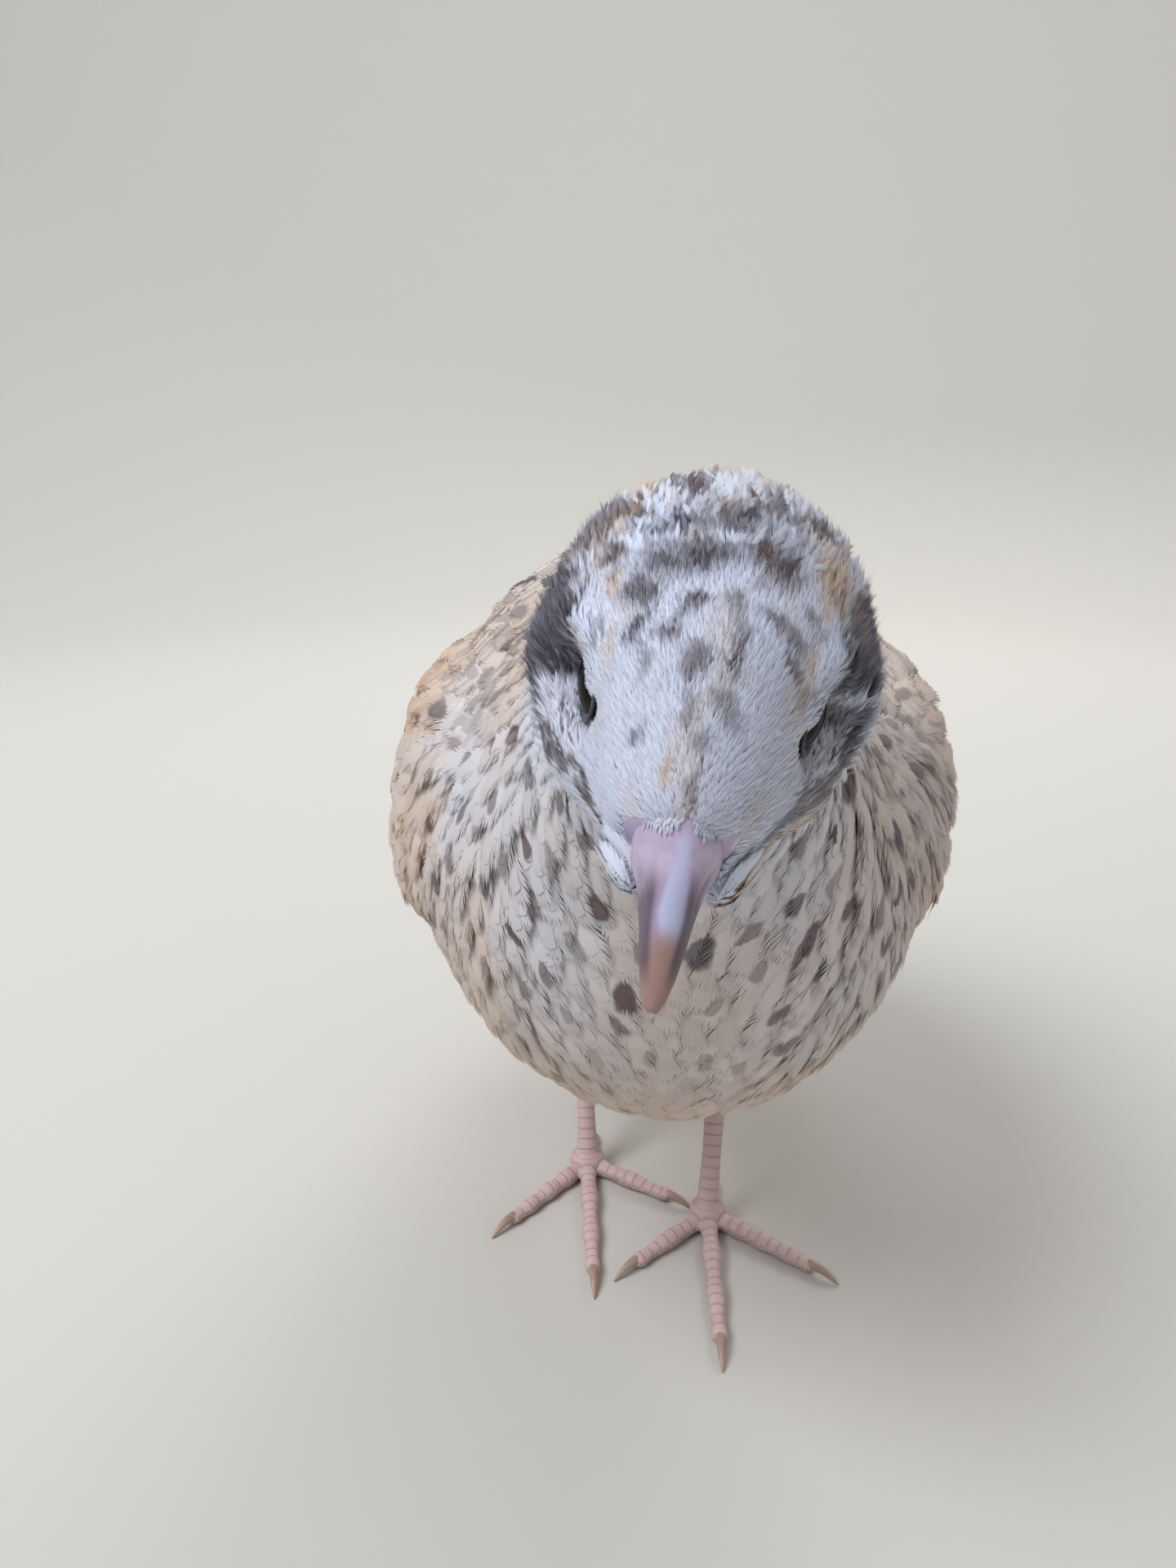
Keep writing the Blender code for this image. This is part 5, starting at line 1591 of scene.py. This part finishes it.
# The camera's place in mm, its tilt from straight down, and its focal length in the photo's pixels.
CAMERA_AT = (-9.4, -134.0 - MIDDLE_Y, 109.0)
CAMERA_TILT = 90 - 17.4
FOCAL_PIXELS, PHOTO_PIXELS = 1330, 1920
SENSOR = 36


def build_stage(sides=96, steps=16):
    """A pale floor that curves up into a low wall all round."""
    n = Nodes("stage_look", 0.9, 0.1)
    profile = [(FLOOR_RADIUS, 0.0)]
    for i in range(1, steps + 1):
        a = math.pi / 2 * i / steps
        profile.append((FLOOR_RADIUS + COVE_RADIUS * math.sin(a), COVE_RADIUS - COVE_RADIUS * math.cos(a)))
    profile.append((FLOOR_RADIUS + COVE_RADIUS, WALL_HEIGHT))
    bm = bmesh.new()
    middle = bm.verts.new((0, 0, 0))
    turns = [(math.cos(math.tau * k / sides), math.sin(math.tau * k / sides)) for k in range(sides)]
    rows = [[bm.verts.new((out * x, out * y, up)) for x, y in turns] for out, up in profile]
    for k in range(sides):
        bm.faces.new((middle, rows[0][k], rows[0][(k + 1) % sides]))
        for low, high in zip(rows, rows[1:]):
            bm.faces.new((low[k], high[k], high[(k + 1) % sides], low[(k + 1) % sides]))
    new_object("floor", mesh_of(bm, "floor"), n.colour(srgb(204, 201, 195)))


def build_lights():
    world = bpy.data.worlds.new("studio")
    bpy.context.scene.world = world
    world.use_nodes = True
    world.node_tree.nodes["Background"].inputs[0].default_value = SKY
    world.node_tree.nodes["Background"].inputs[1].default_value = SKY_STRENGTH
    for name, (at, target, size, power, colour) in LIGHTS.items():
        light = bpy.data.lights.new(name, "AREA")
        light.shape = "DISK"
        light.size, light.energy, light.color = size, power, colour
        obj = bpy.data.objects.new(name, light)
        obj.location = at
        obj.rotation_euler = (Vector(target) - Vector(at)).to_track_quat("-Z", "Y").to_euler()
        bpy.context.scene.collection.objects.link(obj)


def build_camera():
    """A wide lens near the bird, as in the photo."""
    camera = bpy.data.cameras.new("camera")
    camera.sensor_fit = "AUTO"
    camera.sensor_width = SENSOR
    camera.lens = FOCAL_PIXELS / PHOTO_PIXELS * SENSOR
    camera.clip_start, camera.clip_end = 0.005, 20
    obj = bpy.data.objects.new("camera", camera)
    obj.location = Vector(CAMERA_AT) * MM
    obj.rotation_euler = (math.radians(CAMERA_TILT), 0, 0)
    bpy.context.scene.collection.objects.link(obj)
    bpy.context.scene.camera = obj
    settings = bpy.context.scene.view_settings
    settings.view_transform, settings.look, settings.exposure = "Standard", "None", 0.0


# The build
def paint_skin(mesh, ovals):
    """The coat's markings on the skin, a dark ring round each eye, and where the skin is bare by the bill."""
    points = points_of(mesh)
    local = to_head(points)
    tone = tone_at(points, 1)
    dark, _ = ovals.read(points, points[:, None], 2)
    radial, along, _ = eye_place(local)
    ring = 0.6 * ease(3.3, 3.0, radial) * (along > 0)
    tone[:, 2] = np.max([tone[:, 2], dark[:, 0], ring], axis=0)
    bare = np.zeros((len(points), 4))
    bare[:, 0] = ease(-0.1, 0.15, beyond_edge(local))
    paint(mesh, "bare", bare)
    paint(mesh, "tone", tone)


skin_mesh = build_skin()
skin_surface = Surface(skin_mesh)
plumage = plumage_material("plumage_look", 0)
wing_look = plumage_material("wing_look", 240.0)
dark_ovals = Ovals(skin_surface)
body_coat(skin_surface, dark_ovals, plumage)
head_coat(skin_surface, plumage)
wing(1, skin_surface, wing_look)
wing(-1, skin_surface, wing_look)
tail(wing_look)
paint_skin(skin_mesh, dark_ovals)
flesh = ("head", "neck", "torso", "thigh_left", "thigh_right")
new_object("skin", skin_mesh, skin_material(), "plumage", flesh)
build_eyes()
bill_fringe(build_bill(), plumage)
build_legs()
build_stage()
build_lights()
build_camera()
